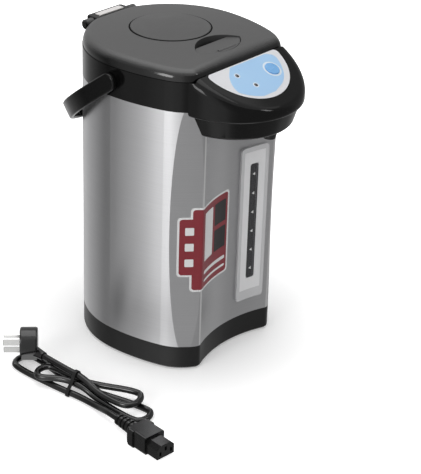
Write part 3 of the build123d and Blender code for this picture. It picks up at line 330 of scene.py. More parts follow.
rim_fade_and_recess_shade.links.new(blend.outputs[MIX_RESULT], leave.inputs["Color"])
rim_fade_and_recess_shade.links.new(rough.outputs["Result"], leave.inputs["Roughness"])
print("group", rim_fade_and_recess_shade.name)

# %% [markdown]
# ## Plastics
# Most of the pot is moulded plastic, from a glossy black shoulder to a satin charcoal lid. They are
# one recipe with different numbers: two close tones, a low and a high gloss, a grain and a shine.

# %% Plastic recipe
finishes = {}


def add_group(tree, group, values):
    """Place a finish group in a material and set its inputs."""
    node = tree.nodes.new("ShaderNodeGroup")
    node.node_tree = group
    for label, value in values.items():
        node.inputs[label].default_value = value
    return node


def plastic(slot, light, dark, gloss, grain, coat=0.0, shine=0.5):
    """Moulded plastic: two tones, a range of roughness, a grain scale and depth."""
    material = bpy.data.materials.new(slot)
    material.use_nodes = True
    tree = material.node_tree
    shader = tree.nodes["Principled BSDF"]
    shader.inputs["Coat Weight"].default_value = coat
    shader.inputs["Coat Roughness"].default_value = 0.05
    shader.inputs["Specular IOR Level"].default_value = shine
    tone = add_group(tree, tone_drift, {"Light": (*light, 1), "Dark": (*dark, 1), "Scale": 22.0})
    patch = add_group(tree, patchy_gloss, {"Low": gloss[0], "High": gloss[1], "Scale": 30.0})
    height = add_group(tree, moulded_grain, {"Scale": grain[0]})
    bump = tree.nodes.new("ShaderNodeBump")
    bump.inputs["Strength"].default_value = grain[1]
    bump.inputs["Distance"].default_value = 0.0002
    tree.links.new(tone.outputs["Color"], shader.inputs["Base Color"])
    tree.links.new(patch.outputs["Roughness"], shader.inputs["Roughness"])
    tree.links.new(height.outputs["Height"], bump.inputs["Height"])
    tree.links.new(bump.outputs["Normal"], shader.inputs["Normal"])
    finishes[slot] = material
    return material


# %% Plastic finishes
def grey(level):
    """Neutral colour."""
    return (level, level, level)


plastic("black_gloss", grey(0.005), grey(0.003), (0.05, 0.09), (500.0, 0.02), shine=0.22)
plastic("disc_grey", grey(0.060), grey(0.048), (0.38, 0.46), (1400.0, 0.10))
plastic("panel_print", (0.74, 0.745, 0.77), (0.68, 0.685, 0.71), (0.28, 0.36), (1800.0, 0.03))
plastic("button_plastic", (0.20, 0.46, 0.80), (0.15, 0.39, 0.74), (0.22, 0.30), (900.0, 0.03),
        coat=0.3)
plastic("lens_red", (0.030, 0.012, 0.012), (0.018, 0.008, 0.008), (0.08, 0.14), (900.0, 0.02),
        coat=0.5)
plastic("dark_plastic", grey(0.014), grey(0.009), (0.32, 0.42), (900.0, 0.10), shine=0.35)
plastic("rubber_black", grey(0.012), grey(0.008), (0.62, 0.75), (1500.0, 0.20))
plastic("silicone", (0.62, 0.62, 0.60), (0.54, 0.54, 0.52), (0.45, 0.55), (900.0, 0.06))
plastic("heater_mica", (0.30, 0.23, 0.14), (0.20, 0.15, 0.09), (0.50, 0.65), (300.0, 0.25))
plastic("board_green", (0.03, 0.16, 0.06), (0.02, 0.11, 0.04), (0.30, 0.42), (400.0, 0.10))
plastic("impeller_plastic", (0.70, 0.69, 0.66), (0.62, 0.61, 0.58), (0.35, 0.45), (700.0, 0.06))
plastic("gauge_silver", (0.64, 0.64, 0.65), (0.58, 0.58, 0.59), (0.36, 0.44), (1500.0, 0.04))
plastic("pale_strip", (0.74, 0.72, 0.71), (0.66, 0.64, 0.63), (0.35, 0.45), (900.0, 0.05))
plastic("cord_pvc", grey(0.006), grey(0.003), (0.17, 0.25), (1200.0, 0.06), shine=0.6)
plastic("tie_wire", grey(0.010), grey(0.006), (0.26, 0.36), (1500.0, 0.10), shine=0.3)
mains_lead.data.materials.append(finishes["cord_pvc"])
print("plastic finishes", len(finishes))

# %% [markdown]
# The lid is satin charcoal on top and turns black towards its rolled rim. The same fade by height
# paints shade in the floor of the finger recess, which lies lower than the fade's start and so comes
# out black. It starts as a plain plastic. Then the groups for tone and gloss make way for the fade
# by height, and the grain stays.

# %% Lid finish
rim_height = 0.3405
dome_height = 0.3470
lid_finish = plastic("lid_black", grey(0.05), grey(0.04), (0.38, 0.46), (1400.0, 0.10))
tree = lid_finish.node_tree
shader = tree.nodes["Principled BSDF"]
# The Rim colour also blackens the floor of the finger recess: painted shade.
fade = add_group(tree, rim_fade_and_recess_shade, {
    "Top": (*grey(0.058), 1), "Rim": (*grey(0.003), 1), "Top Roughness": 0.42,
    "Rim Roughness": 0.10, "Low": rim_height, "High": dome_height})
for node in list(tree.nodes):
    if node.type == "GROUP" and node.node_tree in (tone_drift, patchy_gloss):
        tree.nodes.remove(node)
tree.links.new(fade.outputs["Color"], shader.inputs["Base Color"])
tree.links.new(fade.outputs["Roughness"], shader.inputs["Roughness"])
print("lid fades over", round(dome_height - rim_height, 4), "m")

# %% [markdown]
# ## Metals and the clear strip
# The casing is a brushed sheet. Its lines run round the pot, so a highlight smears up and down it:
# the shader's anisotropy does that, turned by a quarter. The pot, pins and screws are plainer.

# %% Metal recipe
def metal(slot, light, dark, gloss, brush, smear=0.0):
    """Metal with brush lines along the sheet, in two tones."""
    material = bpy.data.materials.new(slot)
    material.use_nodes = True
    tree = material.node_tree
    shader = tree.nodes["Principled BSDF"]
    shader.inputs["Metallic"].default_value = 1.0
    shader.inputs["Anisotropic"].default_value = smear
    shader.inputs["Anisotropic Rotation"].default_value = 0.25
    lines = add_group(tree, brush_lines, {
        "Light": (*light, 1), "Dark": (*dark, 1), "Along": brush[0], "Across": brush[1]})
    patch = add_group(tree, patchy_gloss, {"Low": gloss[0], "High": gloss[1], "Scale": 14.0})
    bump = tree.nodes.new("ShaderNodeBump")
    bump.inputs["Strength"].default_value = brush[2]
    bump.inputs["Distance"].default_value = 0.00005
    tree.links.new(lines.outputs["Color"], shader.inputs["Base Color"])
    tree.links.new(patch.outputs["Roughness"], shader.inputs["Roughness"])
    tree.links.new(lines.outputs["Height"], bump.inputs["Height"])
    tree.links.new(bump.outputs["Normal"], shader.inputs["Normal"])
    if smear:
        along = tree.nodes.new("ShaderNodeTangent")
        along.direction_type = "RADIAL"
        along.axis = "Z"
        tree.links.new(along.outputs["Tangent"], shader.inputs["Tangent"])
    finishes[slot] = material


# %% Metal finishes
metal("brushed_steel", (0.66, 0.66, 0.67), (0.56, 0.56, 0.57), (0.30, 0.36), (9.0, 2600.0, 0.06),
      smear=0.8)
metal("pot_steel", grey(0.66), grey(0.58), (0.22, 0.30), (40.0, 900.0, 0.05))
metal("steel_bright", (0.72, 0.72, 0.71), (0.62, 0.62, 0.61), (0.18, 0.26), (200.0, 900.0, 0.05))
metal("brass_pins", (0.80, 0.80, 0.79), (0.72, 0.72, 0.71), (0.20, 0.28), (300.0, 1500.0, 0.06))
print("finishes with the metals", len(finishes))

# %% [markdown]
# A painted highlight lightens the steel along the bend at each front corner, where the edge catches
# the light. A group finds it by the distance from an upright line, mirrored to the other side, and
# lightens the steel there.

# %% Painted highlight on the bends
painted_bend_highlight, entry, leave = finish_group(
    "painted_bend_highlight",
    [("Color", COLOUR, (0.6, 0.6, 0.6, 1)), ("Painted Highlight", COLOUR, (1, 1, 1, 1)),
     ("Side", NUMBER, 0.05), ("Front", NUMBER, -0.09), ("Width", NUMBER, 0.002)],
    [("Color", COLOUR)])
place = painted_bend_highlight.nodes.new("ShaderNodeTexCoord")
apart = painted_bend_highlight.nodes.new("ShaderNodeSeparateXYZ")
mirror = painted_bend_highlight.nodes.new("ShaderNodeMath")
mirror.operation = "ABSOLUTE"
here = painted_bend_highlight.nodes.new("ShaderNodeCombineXYZ")
there = painted_bend_highlight.nodes.new("ShaderNodeCombineXYZ")
away = painted_bend_highlight.nodes.new("ShaderNodeVectorMath")
away.operation = "DISTANCE"
share = painted_bend_highlight.nodes.new("ShaderNodeMapRange")
share.interpolation_type = "SMOOTHSTEP"
share.inputs["To Min"].default_value = 1.0
share.inputs["To Max"].default_value = 0.0
blend = painted_bend_highlight.nodes.new("ShaderNodeMix")
blend.data_type = "RGBA"
painted_bend_highlight.links.new(place.outputs["Object"], apart.inputs["Vector"])
painted_bend_highlight.links.new(apart.outputs["X"], mirror.inputs[0])
painted_bend_highlight.links.new(mirror.outputs["Value"], here.inputs["X"])
painted_bend_highlight.links.new(apart.outputs["Y"], here.inputs["Y"])
painted_bend_highlight.links.new(entry.outputs["Side"], there.inputs["X"])
painted_bend_highlight.links.new(entry.outputs["Front"], there.inputs["Y"])
painted_bend_highlight.links.new(here.outputs["Vector"], away.inputs[0])
painted_bend_highlight.links.new(there.outputs["Vector"], away.inputs[1])
painted_bend_highlight.links.new(away.outputs["Value"], share.inputs["Value"])
painted_bend_highlight.links.new(entry.outputs["Width"], share.inputs["From Max"])
painted_bend_highlight.links.new(share.outputs["Result"], blend.inputs["Factor"])
painted_bend_highlight.links.new(entry.outputs["Color"], blend.inputs[MIX_A])
painted_bend_highlight.links.new(entry.outputs["Painted Highlight"], blend.inputs[MIX_B])
painted_bend_highlight.links.new(blend.outputs[MIX_RESULT], leave.inputs["Color"])
print("group", painted_bend_highlight.name)

# %% Painted highlight on the casing's bends
# Painted highlight: the steel's colour turns white along each front corner bend.
bend_side = 0.0572
bend_front = -0.0972
bend_width = 0.0022
tree = finishes["brushed_steel"].node_tree
shader = tree.nodes["Principled BSDF"]
bend = add_group(tree, painted_bend_highlight, {
    "Painted Highlight": (1, 1, 1, 1), "Side": bend_side, "Front": bend_front, "Width": bend_width})
tree.links.new(shader.inputs["Base Color"].links[0].from_socket, bend.inputs["Color"])
tree.links.new(bend.outputs["Color"], shader.inputs["Base Color"])
print("painted bend highlight at", bend_side, bend_front)

# %% [markdown]
# The window of the gauge is a clear strip, a little smoky. It lets most of the light through and
# keeps a plain metallic value, because glass with a patterned one would not export.

# %% Clear strip
clear = bpy.data.materials.new("clear_plastic")
clear.use_nodes = True
tree = clear.node_tree
shader = tree.nodes["Principled BSDF"]
shader.inputs["Transmission Weight"].default_value = 0.7
shader.inputs["IOR"].default_value = 1.49
tint = add_group(tree, tone_drift, {
    "Light": (0.16, 0.16, 0.17, 1), "Dark": (0.10, 0.10, 0.11, 1)})
patch = add_group(tree, patchy_gloss, {"Low": 0.05, "High": 0.10, "Scale": 40.0})
tree.links.new(tint.outputs["Color"], shader.inputs["Base Color"])
tree.links.new(patch.outputs["Roughness"], shader.inputs["Roughness"])
finishes["clear_plastic"] = clear
print("finishes", len(finishes))

# %% [markdown]
# ## Dressing the frame's own pieces
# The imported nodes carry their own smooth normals, so a rounded edge already shades round. A merged
# copy with new normals would only spoil that. Each node keeps its mesh and takes the finish of its
# material slot, and two nodes have a finish of their own.

# %% Finishes on the nodes
slot_of_node = {}
for part in frame["record"]["subparts"]:
    slot_of_node[part["node"]] = part["material_slot"]
own_finish = {"gauge_plate": "gauge_silver", "hinge_pin": "dark_plastic"}
for node, piece in frame["nodes"].items():
    finish = finishes[own_finish.get(node, slot_of_node[node])]
    if not piece.material_slots:
        piece.data.materials.append(finish)
    for slot in piece.material_slots:
        slot.material = finish
print("dressed nodes", len(frame["nodes"]))

# %% [markdown]
# ## Bellows and spring
# Under the press disc an air bellows and a coil spring shorten as the disc goes down. A copy of
# each stands in for it, squeezed a little along the pump's axis, so that the copies stop a hair
# short of the disc and never cut into it.

# %% Bellows and spring copies
disc_gap = 0.0003
disc_middle = 0.0045
pump_floor = Vector((0.0, disc_middle, 0.294))
for node in ("bellows", "press_spring"):
    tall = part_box(node)[1][2] - pump_floor.z
    mesh = frame["nodes"][node].data.copy()
    mesh.transform(
        Matrix.Translation(pump_floor) @ Matrix.Diagonal((1, 1, 1 - disc_gap / tall, 1))
        @ Matrix.Translation(-pump_floor))
    piece = put_in_scene(node + "_soft", mesh)
    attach(piece, body_of_node[node])
    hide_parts(node)
    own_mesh(piece)

# %% [markdown]

# %% [markdown]
# ## Thin pieces
# The print on the panel, the painted shade round the press disc, the gauge's field and the label are
# thin sheets that follow what they lie on. A sheet is made of patches. A patch is a list of rows, a
# row has one v and several u, and a placing function puts (u, v, lift) on the pot. One helper so
# makes flat, bent, round and wrapped sheets, each closed all round.

# %% Sheet helper
def evenly(first, last, steps):
    """Steps + 1 values from first to last."""
    return [first + (last - first) * i / steps for i in range(steps + 1)]


def sheet_patch(work, rows, place, low, high):
    """Add one closed patch to a mesh in the making."""
    sides = []
    for lift in (low, high):
        sides.append([[work.verts.new(place(u, v, lift)) for u in us] for v, us in rows])
    under, over = sides
    tall = len(rows) - 1
    wide = len(rows[0][1]) - 1
    for j in range(tall):
        for i in range(wide):
            work.faces.new((under[j][i], under[j + 1][i], under[j + 1][i + 1], under[j][i + 1]))
            work.faces.new((over[j][i], over[j][i + 1], over[j + 1][i + 1], over[j + 1][i]))
    ring = [(0, i) for i in range(wide)]
    ring += [(j, wide) for j in range(tall)]
    ring += [(tall, i) for i in range(wide, 0, -1)]
    ring += [(j, 0) for j in range(tall, 0, -1)]
    for (j, i), (k, m) in zip(ring, ring[1:] + ring[:1]):
        work.faces.new((under[j][i], under[k][m], over[k][m], over[j][i]))


sharp_angle = math.radians(40)


def thin_sheet(name, patches, place, low, high, material, body):
    """Object of one or more closed thin patches."""
    work = bmesh.new()
    for rows in patches:
        sheet_patch(work, rows, place, low, high)
    bmesh.ops.recalc_face_normals(work, faces=work.faces)
    mesh = bpy.data.meshes.new(name)
    work.to_mesh(mesh)
    work.free()
    mesh.shade_smooth()
    mesh.set_sharp_from_angle(angle=sharp_angle)
    mesh.materials.append(material)
    piece = put_in_scene(name, mesh)
    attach(piece, body)
    return piece


def rounded_rows(left, right, low, high, radius, columns, steps=5):
    """Rows of a rectangle with rounded corners."""
    rows = []
    for i in range(steps + 1):
        angle = math.pi / 2 * (1 - i / steps)
        pull = radius * (1 - math.cos(angle))
        v = low + radius * (1 - math.sin(angle))
        rows.append((v, evenly(left + pull, right - pull, columns)))
    for v, us in rows[::-1]:
        rows.append((low + high - v, us))
    return rows


def ring_rows(inner, outer, steps=32):
    """Rows of a flat ring, in angle and radius."""
    return [(angle, [inner, outer]) for angle in evenly(0.0, 2 * math.pi, steps)]


# %% [markdown]
# ## Panel print
# The sloping panel is silver with a pale blue field under the two lamps and the button. The field
# leans: its left side falls away from the lid, and the rest runs along the panel's round rim. Two
# curves through a few points give its sides.

# %% Panel places
panel_back = Vector((0.0, -0.093, 0.338))
panel_tilt = math.radians(25.6)
slope = Vector((0.0, -math.cos(panel_tilt), -math.sin(panel_tilt)))
panel_out = Vector((0.0, -math.sin(panel_tilt), math.cos(panel_tilt)))
panel_half = 0.055
panel_depth = 0.053
print_lift = 0.00015


def panel_point(u, v, lift):
    """Point of the panel: u to the right, v down the slope, lift above its face."""
    return panel_back + Vector((u, 0, 0)) + slope * v + panel_out * lift


def rim_half(v, inset):
    """Half width of the panel at v, set in from its round rim."""
    half = panel_half - inset
    deep = panel_depth - inset
    radius = (half ** 2 + deep ** 2) / (2 * deep)
    return math.sqrt(max(radius ** 2 - (v - deep + radius) ** 2, 0.0))


def through(points, v):
    """Smooth curve through (v, u) points, read at v."""
    last = len(points) - 2
    k = min(max(i for i in range(last + 1) if i == 0 or points[i][0] <= v), last)
    spans = [points[max(k - 1, 0)], points[k], points[k + 1], points[min(k + 2, last + 1)]]
    length = spans[2][0] - spans[1][0]
    share = (v - spans[1][0]) / length
    start = (spans[2][1] - spans[0][1]) / (spans[2][0] - spans[0][0]) * length
    end = (spans[3][1] - spans[1][1]) / (spans[3][0] - spans[1][0]) * length
    square = share * share
    cube = square * share
    return (spans[1][1] * (2 * cube - 3 * square + 1) + start * (cube - 2 * square + share)
            + spans[2][1] * (3 * square - 2 * cube) + end * (cube - square))


print("panel slopes", round(math.degrees(panel_tilt), 1), "degrees")

# %% Blue field
field_left = [
    (0.0015, -0.020), (0.0125, -0.032), (0.028, -0.0385), (0.040, -0.0335), (0.0475, -0.017)]
field_right = [
    (0.0015, 0.036), (0.005, 0.043), (0.012, 0.0452), (0.030, 0.036), (0.041, 0.0225),
    (0.0475, 0.004)]
rim_margin = 0.0035
rows = []
for v in evenly(field_left[0][0], field_left[-1][0], 24):
    edge = rim_half(v, rim_margin)
    left = max(through(field_left, v), -edge)
    right = min(through(field_right, v), edge)
    rows.append((v, evenly(left, right, 10)))
blue = plastic("panel_blue", (0.40, 0.62, 0.86), (0.33, 0.55, 0.82), (0.26, 0.34), (1800.0, 0.03))
thin_sheet("panel_field", [rows], panel_point, 0.0, print_lift, blue, "pot")
print("panel field rows", len(rows))

# %% [markdown]
# The lamps are small dark domes, each in a pale ring, and a wider pale ring is printed round the
# button. A dome is a round patch whose lift falls off towards its edge. Its rows end just short of
# a quarter turn from its middle, so that the outermost ones still have a width.

# %% Lamps
lamp_spots = [(-0.0212, 0.0135), (-0.0108, 0.0319)]
lamp_r = 0.0022
lamp_proud = 0.0006
lamp_root = -0.001
dome_end = 1.45


def dome_point(u, v, lift):
    """Point of the nearest lamp's dome, which is highest in its middle."""
    away = min(math.hypot(u - spot[0], v - spot[1]) for spot in lamp_spots)
    crown = max(1 - (away / lamp_r) ** 2, 0.0)
    return panel_point(u, v, lift if lift < 0 else print_lift + lift * crown)


domes = []
for spot in lamp_spots:
    rows = []
    for angle in evenly(-dome_end, dome_end, 14):
        half = lamp_r * math.cos(angle)
        v = spot[1] + lamp_r * math.sin(angle)
        rows.append((v, evenly(spot[0] - half, spot[0] + half, 14)))
    domes.append(rows)
lamps = thin_sheet(
    "lamp_domes", domes, dome_point, lamp_root, lamp_proud, finishes["lens_red"], "pot")
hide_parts("indicator_lenses")
print("lamps", len(domes))

# %% Rings
button_spot = (0.0263, 0.0217)
button_r = 0.008
lamp_gap = 0.0002
lamp_ring_r = 0.0034
button_gap = 0.0006
button_ring_r = 0.0106


def round_point(spot):
    """Placing function for rings round a spot of the panel."""
    def place(u, v, lift):
        return panel_point(spot[0] + u * math.cos(v), spot[1] + u * math.sin(v), lift)
    return place


pale = plastic("ring_print", (0.76, 0.82, 0.88), (0.70, 0.77, 0.84), (0.28, 0.36), (1800.0, 0.03))
rings = (
    ("lamp_ring_left", lamp_spots[0], lamp_r + lamp_gap, lamp_ring_r),
    ("lamp_ring_right", lamp_spots[1], lamp_r + lamp_gap, lamp_ring_r),
    ("button_ring", button_spot, button_r + button_gap, button_ring_r))
for name, spot, inner, outer in rings:
    thin_sheet(
        name, [ring_rows(inner, outer)], round_point(spot), print_lift / 2, 2 * print_lift, pale,
        "pot")
print("rings", len(rings))

# %% [markdown]
# ## Painted shade round the press disc
# A thin matte black ring edges the hole that the press disc sits in: painted shade, where the gap
# round the disc falls dark. It lies on the lid's dome, so its points are dropped on the lid from
# above.

# %% Painted gap shade on the lid
lid_cover = frame["nodes"]["lid_cover"]
lid_tree = BVHTree.FromPolygons(
    [lid_cover.matrix_world @ vert.co for vert in lid_cover.data.vertices],
    [face.vertices for face in lid_cover.data.polygons])
press_disc = frame["nodes"]["press_disc"]
hole_gap = 0.0005
disc_r = max((press_disc.matrix_world @ vert.co).x for vert in press_disc.data.vertices)
hole_r = disc_r + hole_gap
gap_shade_inset = 0.0001
gap_shade_width = 0.0012
stuck_low = 0.00002
stuck_high = 0.00015
drop_height = 1.0
# Painted shade: a matte black ring where the gap round the press disc falls dark.
gap_shade_black = plastic("gap_shade_black", grey(0.004), grey(0.002), (0.70, 0.80), (1500.0, 0.10), shine=0.04)


def lid_point(u, v, lift):
    """Point of the lid at radius u and angle v round the press disc, lifted off the dome."""
    above = Vector((u * math.cos(v), disc_middle + u * math.sin(v), drop_height))
    spot = lid_tree.ray_cast(above, Vector((0, 0, -1)))[0]
    return spot + Vector((0, 0, lift))


thin_sheet(
    "press_gap_shade", [ring_rows(hole_r + gap_shade_inset, hole_r + gap_shade_inset + gap_shade_width, 96)], lid_point,
    stuck_low, stuck_high, gap_shade_black, "lid")
print("gap shade radius", round(hole_r, 4))

# %% [markdown]
# ## Water gauge
# The gauge plate is bent to the hollow front. On it lie a paler field round the window, and six
# small white marks on the window itself. The marks repeat along a line, so Geometry Nodes set them.

# %% Gauge field
hollow_r = 0.14617
hollow_y = -0.23217
gauge_aside = 0.0316
gauge_proud = 0.0026
gauge_turn = math.asin(gauge_aside / hollow_r)
gauge_face_r = hollow_r - gauge_proud


def gauge_point(u, z, lift):
    """Point on the bent gauge plate: u across it, z up, lift in front of its face."""
    radius = gauge_face_r - lift
    swing = gauge_turn + math.asin(u / radius)
    return Vector((radius * math.sin(swing), hollow_y + radius * math.cos(swing), z))


field = plastic("gauge_field", (0.84, 0.84, 0.85), (0.78, 0.78, 0.79), (0.34, 0.44), (1500.0, 0.04))
field_half = 0.0140
field_low = 0.0605
field_high = 0.2285
window_low = 0.075
window_high = 0.214
window_half = 0.0055
rim = 0.0002
frame_sides = []
for left, right, low, high in (
        (-field_half, -window_half - rim, field_low, field_high),
        (window_half + rim, field_half, field_low, field_high),
        (-window_half - rim, window_half + rim, field_low, window_low - rim),
        (-window_half - rim, window_half + rim, window_high + rim, field_high)):
    frame_sides.append([(z, evenly(left, right, 4)) for z in (low, high)])
thin_sheet("gauge_field", frame_sides, gauge_point, 0.0, print_lift, field, "pot")
print("gauge field patches", len(frame_sides))

# %% Tree for the marks
mark_white = plastic("mark_white", grey(0.80), grey(0.72), (0.35, 0.45), (1200.0, 0.03))
marks_tree = bpy.data.node_groups.new("gauge_marks", "GeometryNodeTree")
sockets = {}
for label, kind, value in (
        ("Count", "NodeSocketInt", 2), ("Radius", NUMBER, 0.001), ("Depth", NUMBER, 0.0002)):
    socket = marks_tree.interface.new_socket(label, in_out="INPUT", socket_type=kind)
    socket.default_value = value
    sockets[label] = socket.identifier
for label in ("First", "Step", "Turn"):
    sockets[label] = marks_tree.interface.new_socket(
        label, in_out="INPUT", socket_type="NodeSocketVector").identifier
marks_tree.interface.new_socket("Geometry", in_out="OUTPUT", socket_type="NodeSocketGeometry")
entry = marks_tree.nodes.new("NodeGroupInput")
leave = marks_tree.nodes.new("NodeGroupOutput")
line = marks_tree.nodes.new("GeometryNodeMeshLine")
mark = marks_tree.nodes.new("GeometryNodeMeshCylinder")
mark.inputs["Vertices"].default_value = 3
spread = marks_tree.nodes.new("GeometryNodeInstanceOnPoints")
real = marks_tree.nodes.new("GeometryNodeRealizeInstances")
paint = marks_tree.nodes.new("GeometryNodeSetMaterial")
paint.inputs["Material"].default_value = mark_white
marks_tree.links.new(entry.outputs["Count"], line.inputs["Count"])
marks_tree.links.new(entry.outputs["First"], line.inputs["Start Location"])
marks_tree.links.new(entry.outputs["Step"], line.inputs["Offset"])
marks_tree.links.new(entry.outputs["Radius"], mark.inputs["Radius"])
marks_tree.links.new(entry.outputs["Depth"], mark.inputs["Depth"])
marks_tree.links.new(line.outputs["Mesh"], spread.inputs["Points"])
marks_tree.links.new(mark.outputs["Mesh"], spread.inputs["Instance"])
marks_tree.links.new(entry.outputs["Turn"], spread.inputs["Rotation"])
marks_tree.links.new(spread.outputs["Instances"], real.inputs["Geometry"])
marks_tree.links.new(real.outputs["Geometry"], paint.inputs["Geometry"])
marks_tree.links.new(paint.outputs["Geometry"], leave.inputs["Geometry"])
print("mark tree nodes", len(marks_tree.nodes))

# %% Gauge marks
mark_count = 6
mark_r = 0.0021
mark_low = 0.087
mark_high = 0.2016
first = gauge_point(0.0, mark_low, print_lift / 2)
up = Vector((0, 0, 1))
facing = (gauge_point(0.0, 0.0, 0.001) - gauge_point(0.0, 0.0, 0.0)).normalized()
mark_turn = Matrix((facing.cross(up), up, facing)).transposed().to_euler()
holder = put_in_scene("gauge_marks_maker", bpy.data.meshes.new("gauge_marks_maker"))
maker = holder.modifiers.new("marks", "NODES")
maker.node_group = marks_tree
maker[sockets["Count"]] = mark_count
maker[sockets["Radius"]] = mark_r
maker[sockets["Depth"]] = print_lift * 2
maker[sockets["First"]] = tuple(first)
maker[sockets["Step"]] = (0.0, 0.0, (mark_high - mark_low) / (mark_count - 1))
maker[sockets["Turn"]] = tuple(mark_turn)
done = holder.evaluated_get(bpy.context.evaluated_depsgraph_get())
marks_mesh = bpy.data.meshes.new_from_object(done)
bpy.data.objects.remove(holder)
gauge_marks = put_in_scene("gauge_marks", marks_mesh)
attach(gauge_marks, "pot")
print("gauge marks", len(marks_mesh.polygons), "faces")

# %% [markdown]
# ## Label
# A label in white, dark red and black is stuck round the front corner, with plain blocks and
# stripes in a layout of its own. Its outline is a front rectangle with a tab on its left. Each
# layer is dropped on the casing by ray casts, with close columns where the corner turns, so that
# it wraps without cutting through.

# %% Drop on the casing
casing_mesh = frame["nodes"]["outer_casing"].data
casing_tree = BVHTree.FromPolygons(
    [vert.co for vert in casing_mesh.vertices], [face.vertices for face in casing_mesh.polygons])
cast_way = Vector((0.45, 0.893, 0.0)).normalized()
cast_side = Vector((cast_way.y, -cast_way.x, 0.0))
corner_from = -0.0090
corner_to = -0.0056
cast_from = 0.4
step_width = 0.00005
corner_steps = 4


def casing_point(u, z, lift):
    """Point of the casing at u across the front corner and height z, lifted off the steel."""
    start = cast_side * u - cast_way * cast_from + Vector((0, 0, z))
    spot, normal = casing_tree.ray_cast(start, cast_way)[:2]
    return spot + normal * lift


def wrapped(left, right):
    """Values across the label, close together where the corner turns."""
    if left > corner_from:
        return evenly(left, right, 30)
    return (evenly(left, corner_from, 8) + evenly(corner_from, corner_to, 12)[1:]
            + evenly(corner_to, right, 10)[1:])


def label_rows(front, tab, radius):
    """Rows of a front rectangle with a tab on its left, both with rounded corners."""
    rows = []
    heights = set()
    for left, right, low, high in (front, tab):
        for i in range(corner_steps + 1):
            rise = radius * (1 - math.cos(math.pi / 2 * i / corner_steps))
            heights.update((low + rise, high - rise))
        heights.update(evenly(low + radius, high - radius, 12))
    heights.update((tab[2] - step_width, tab[3] + step_width))
    for z in sorted(heights):
        lefts = []
        rights = []
        for left, right, low, high in (front, tab):
            if low <= z <= high:
                near = max(radius - min(z - low, high - z), 0.0)
                pull = radius - math.sqrt(max(radius ** 2 - near ** 2, 0.0))
                lefts.append(left + pull)
                rights.append(right - pull)
        rows.append((z, wrapped(min(lefts), max(rights))))
    return rows


print("casing faces", len(casing_mesh.polygons))

# %% Label layers
label_front = (-0.0202, 0.0365, 0.095, 0.194)
label_tab = (-0.0335, -0.004, 0.113, 0.183)
border = 0.0022
base_round = 0.004
colour_round = 0.003
colour_low = 0.0001
colour_high = 0.00023
label_white = plastic("label_white", grey(0.80), grey(0.75), (0.30, 0.38), (1500.0, 0.03))
label_red = plastic(
    "label_red", (0.27, 0.022, 0.034), (0.22, 0.016, 0.026), (0.30, 0.38), (1500.0, 0.03))
left, right, low, high = label_front
inner_front = (left + border, right - border, low + border, high - border)
left, right, low, high = label_tab
inner_tab = (left + border, right, low + border, high - border)
thin_sheet(
    "label_base", [label_rows(label_front, label_tab, base_round)], casing_point,
    stuck_low, stuck_high, label_white, "pot")
thin_sheet(
    "label_colour", [label_rows(inner_front, inner_tab, colour_round)], casing_point,
    colour_low, colour_high, label_red, "pot")
print("label height", round(label_front[3] - label_front[2], 4))

# %% Label blocks
block_round = 0.001
block_low = 0.0002
block_high = 0.00032
label_dark = plastic(
    "label_dark", (0.018, 0.016, 0.017), (0.012, 0.011, 0.012), (0.32, 0.40), (1500.0, 0.03))
dark_blocks = [(0.014, 0.0315, low, low + 0.0255) for low in (0.128, 0.159)]
white_blocks = [
    (-0.0035, 0.0105, 0.128, 0.1845), (-0.0035, 0.0315, 0.1125, 0.1165),
    (-0.0035, 0.0315, 0.1035, 0.1062)]
white_blocks += [(-0.0255, -0.0165, z, z + 0.009) for z in (0.125, 0.1435, 0.162)]
for name, blocks, finish in (
        ("label_dark_blocks", dark_blocks, label_dark),
        ("label_white_blocks", white_blocks, label_white)):
    patches = [rounded_rows(*block, block_round, 12) for block in blocks]
    thin_sheet(name, patches, casing_point, block_low, block_high, finish, "pot")
print("label blocks", len(dark_blocks) + len(white_blocks))

# %% [markdown]
# ## Studio
# The floor is pale and the light is soft: a wide lamp above and one on each side. For the camera
# the floor gets a little light of its own, more of it far from the pot, so that it comes out white
# all the way back and still holds the shadow. The steel needs something to mirror, so a tall ring
# of studio walls stands round the pot, seen only in reflections.

# %% Floor
floor_mesh = bpy.data.meshes.new("pale_floor")
floor_half = 4.0
floor_mesh.from_pydata(
    [(-floor_half, -floor_half, 0), (floor_half, -floor_half, 0), (floor_half, floor_half, 0),
     (-floor_half, floor_half, 0)], [], [(0, 1, 2, 3)])
pale_floor = put_in_scene("pale_floor", floor_mesh)
floor_finish = bpy.data.materials.new("pale_floor")
floor_finish.use_nodes = True
tree = floor_finish.node_tree
shader = tree.nodes["Principled BSDF"]
shader.inputs["Base Color"].default_value = (0.82, 0.82, 0.82, 1)
shader.inputs["Roughness"].default_value = 0.9
shader.inputs["Specular IOR Level"].default_value = 0.0
ray = tree.nodes.new("ShaderNodeLightPath")
place = tree.nodes.new("ShaderNodeTexCoord")
away = tree.nodes.new("ShaderNodeVectorMath")
away.operation = "LENGTH"
spread = tree.nodes.new("ShaderNodeMapRange")
spread.interpolation_type = "SMOOTHSTEP"
spread.inputs["From Min"].default_value = 0.10
spread.inputs["From Max"].default_value = 0.38
spread.inputs["To Min"].default_value = 0.28
spread.inputs["To Max"].default_value = 1.0
glow = tree.nodes.new("ShaderNodeMath")
glow.operation = "MULTIPLY"
shader.inputs["Emission Color"].default_value = (1, 1, 1, 1)
tree.links.new(place.outputs["Object"], away.inputs[0])
tree.links.new(away.outputs["Value"], spread.inputs["Value"])
tree.links.new(ray.outputs["Is Camera Ray"], glow.inputs[0])
tree.links.new(spread.outputs["Result"], glow.inputs[1])
tree.links.new(glow.outputs["Value"], shader.inputs["Emission Strength"])
floor_mesh.materials.append(floor_finish)
pale_floor.visible_glossy = False
print("floor", 2 * floor_half, "m wide")

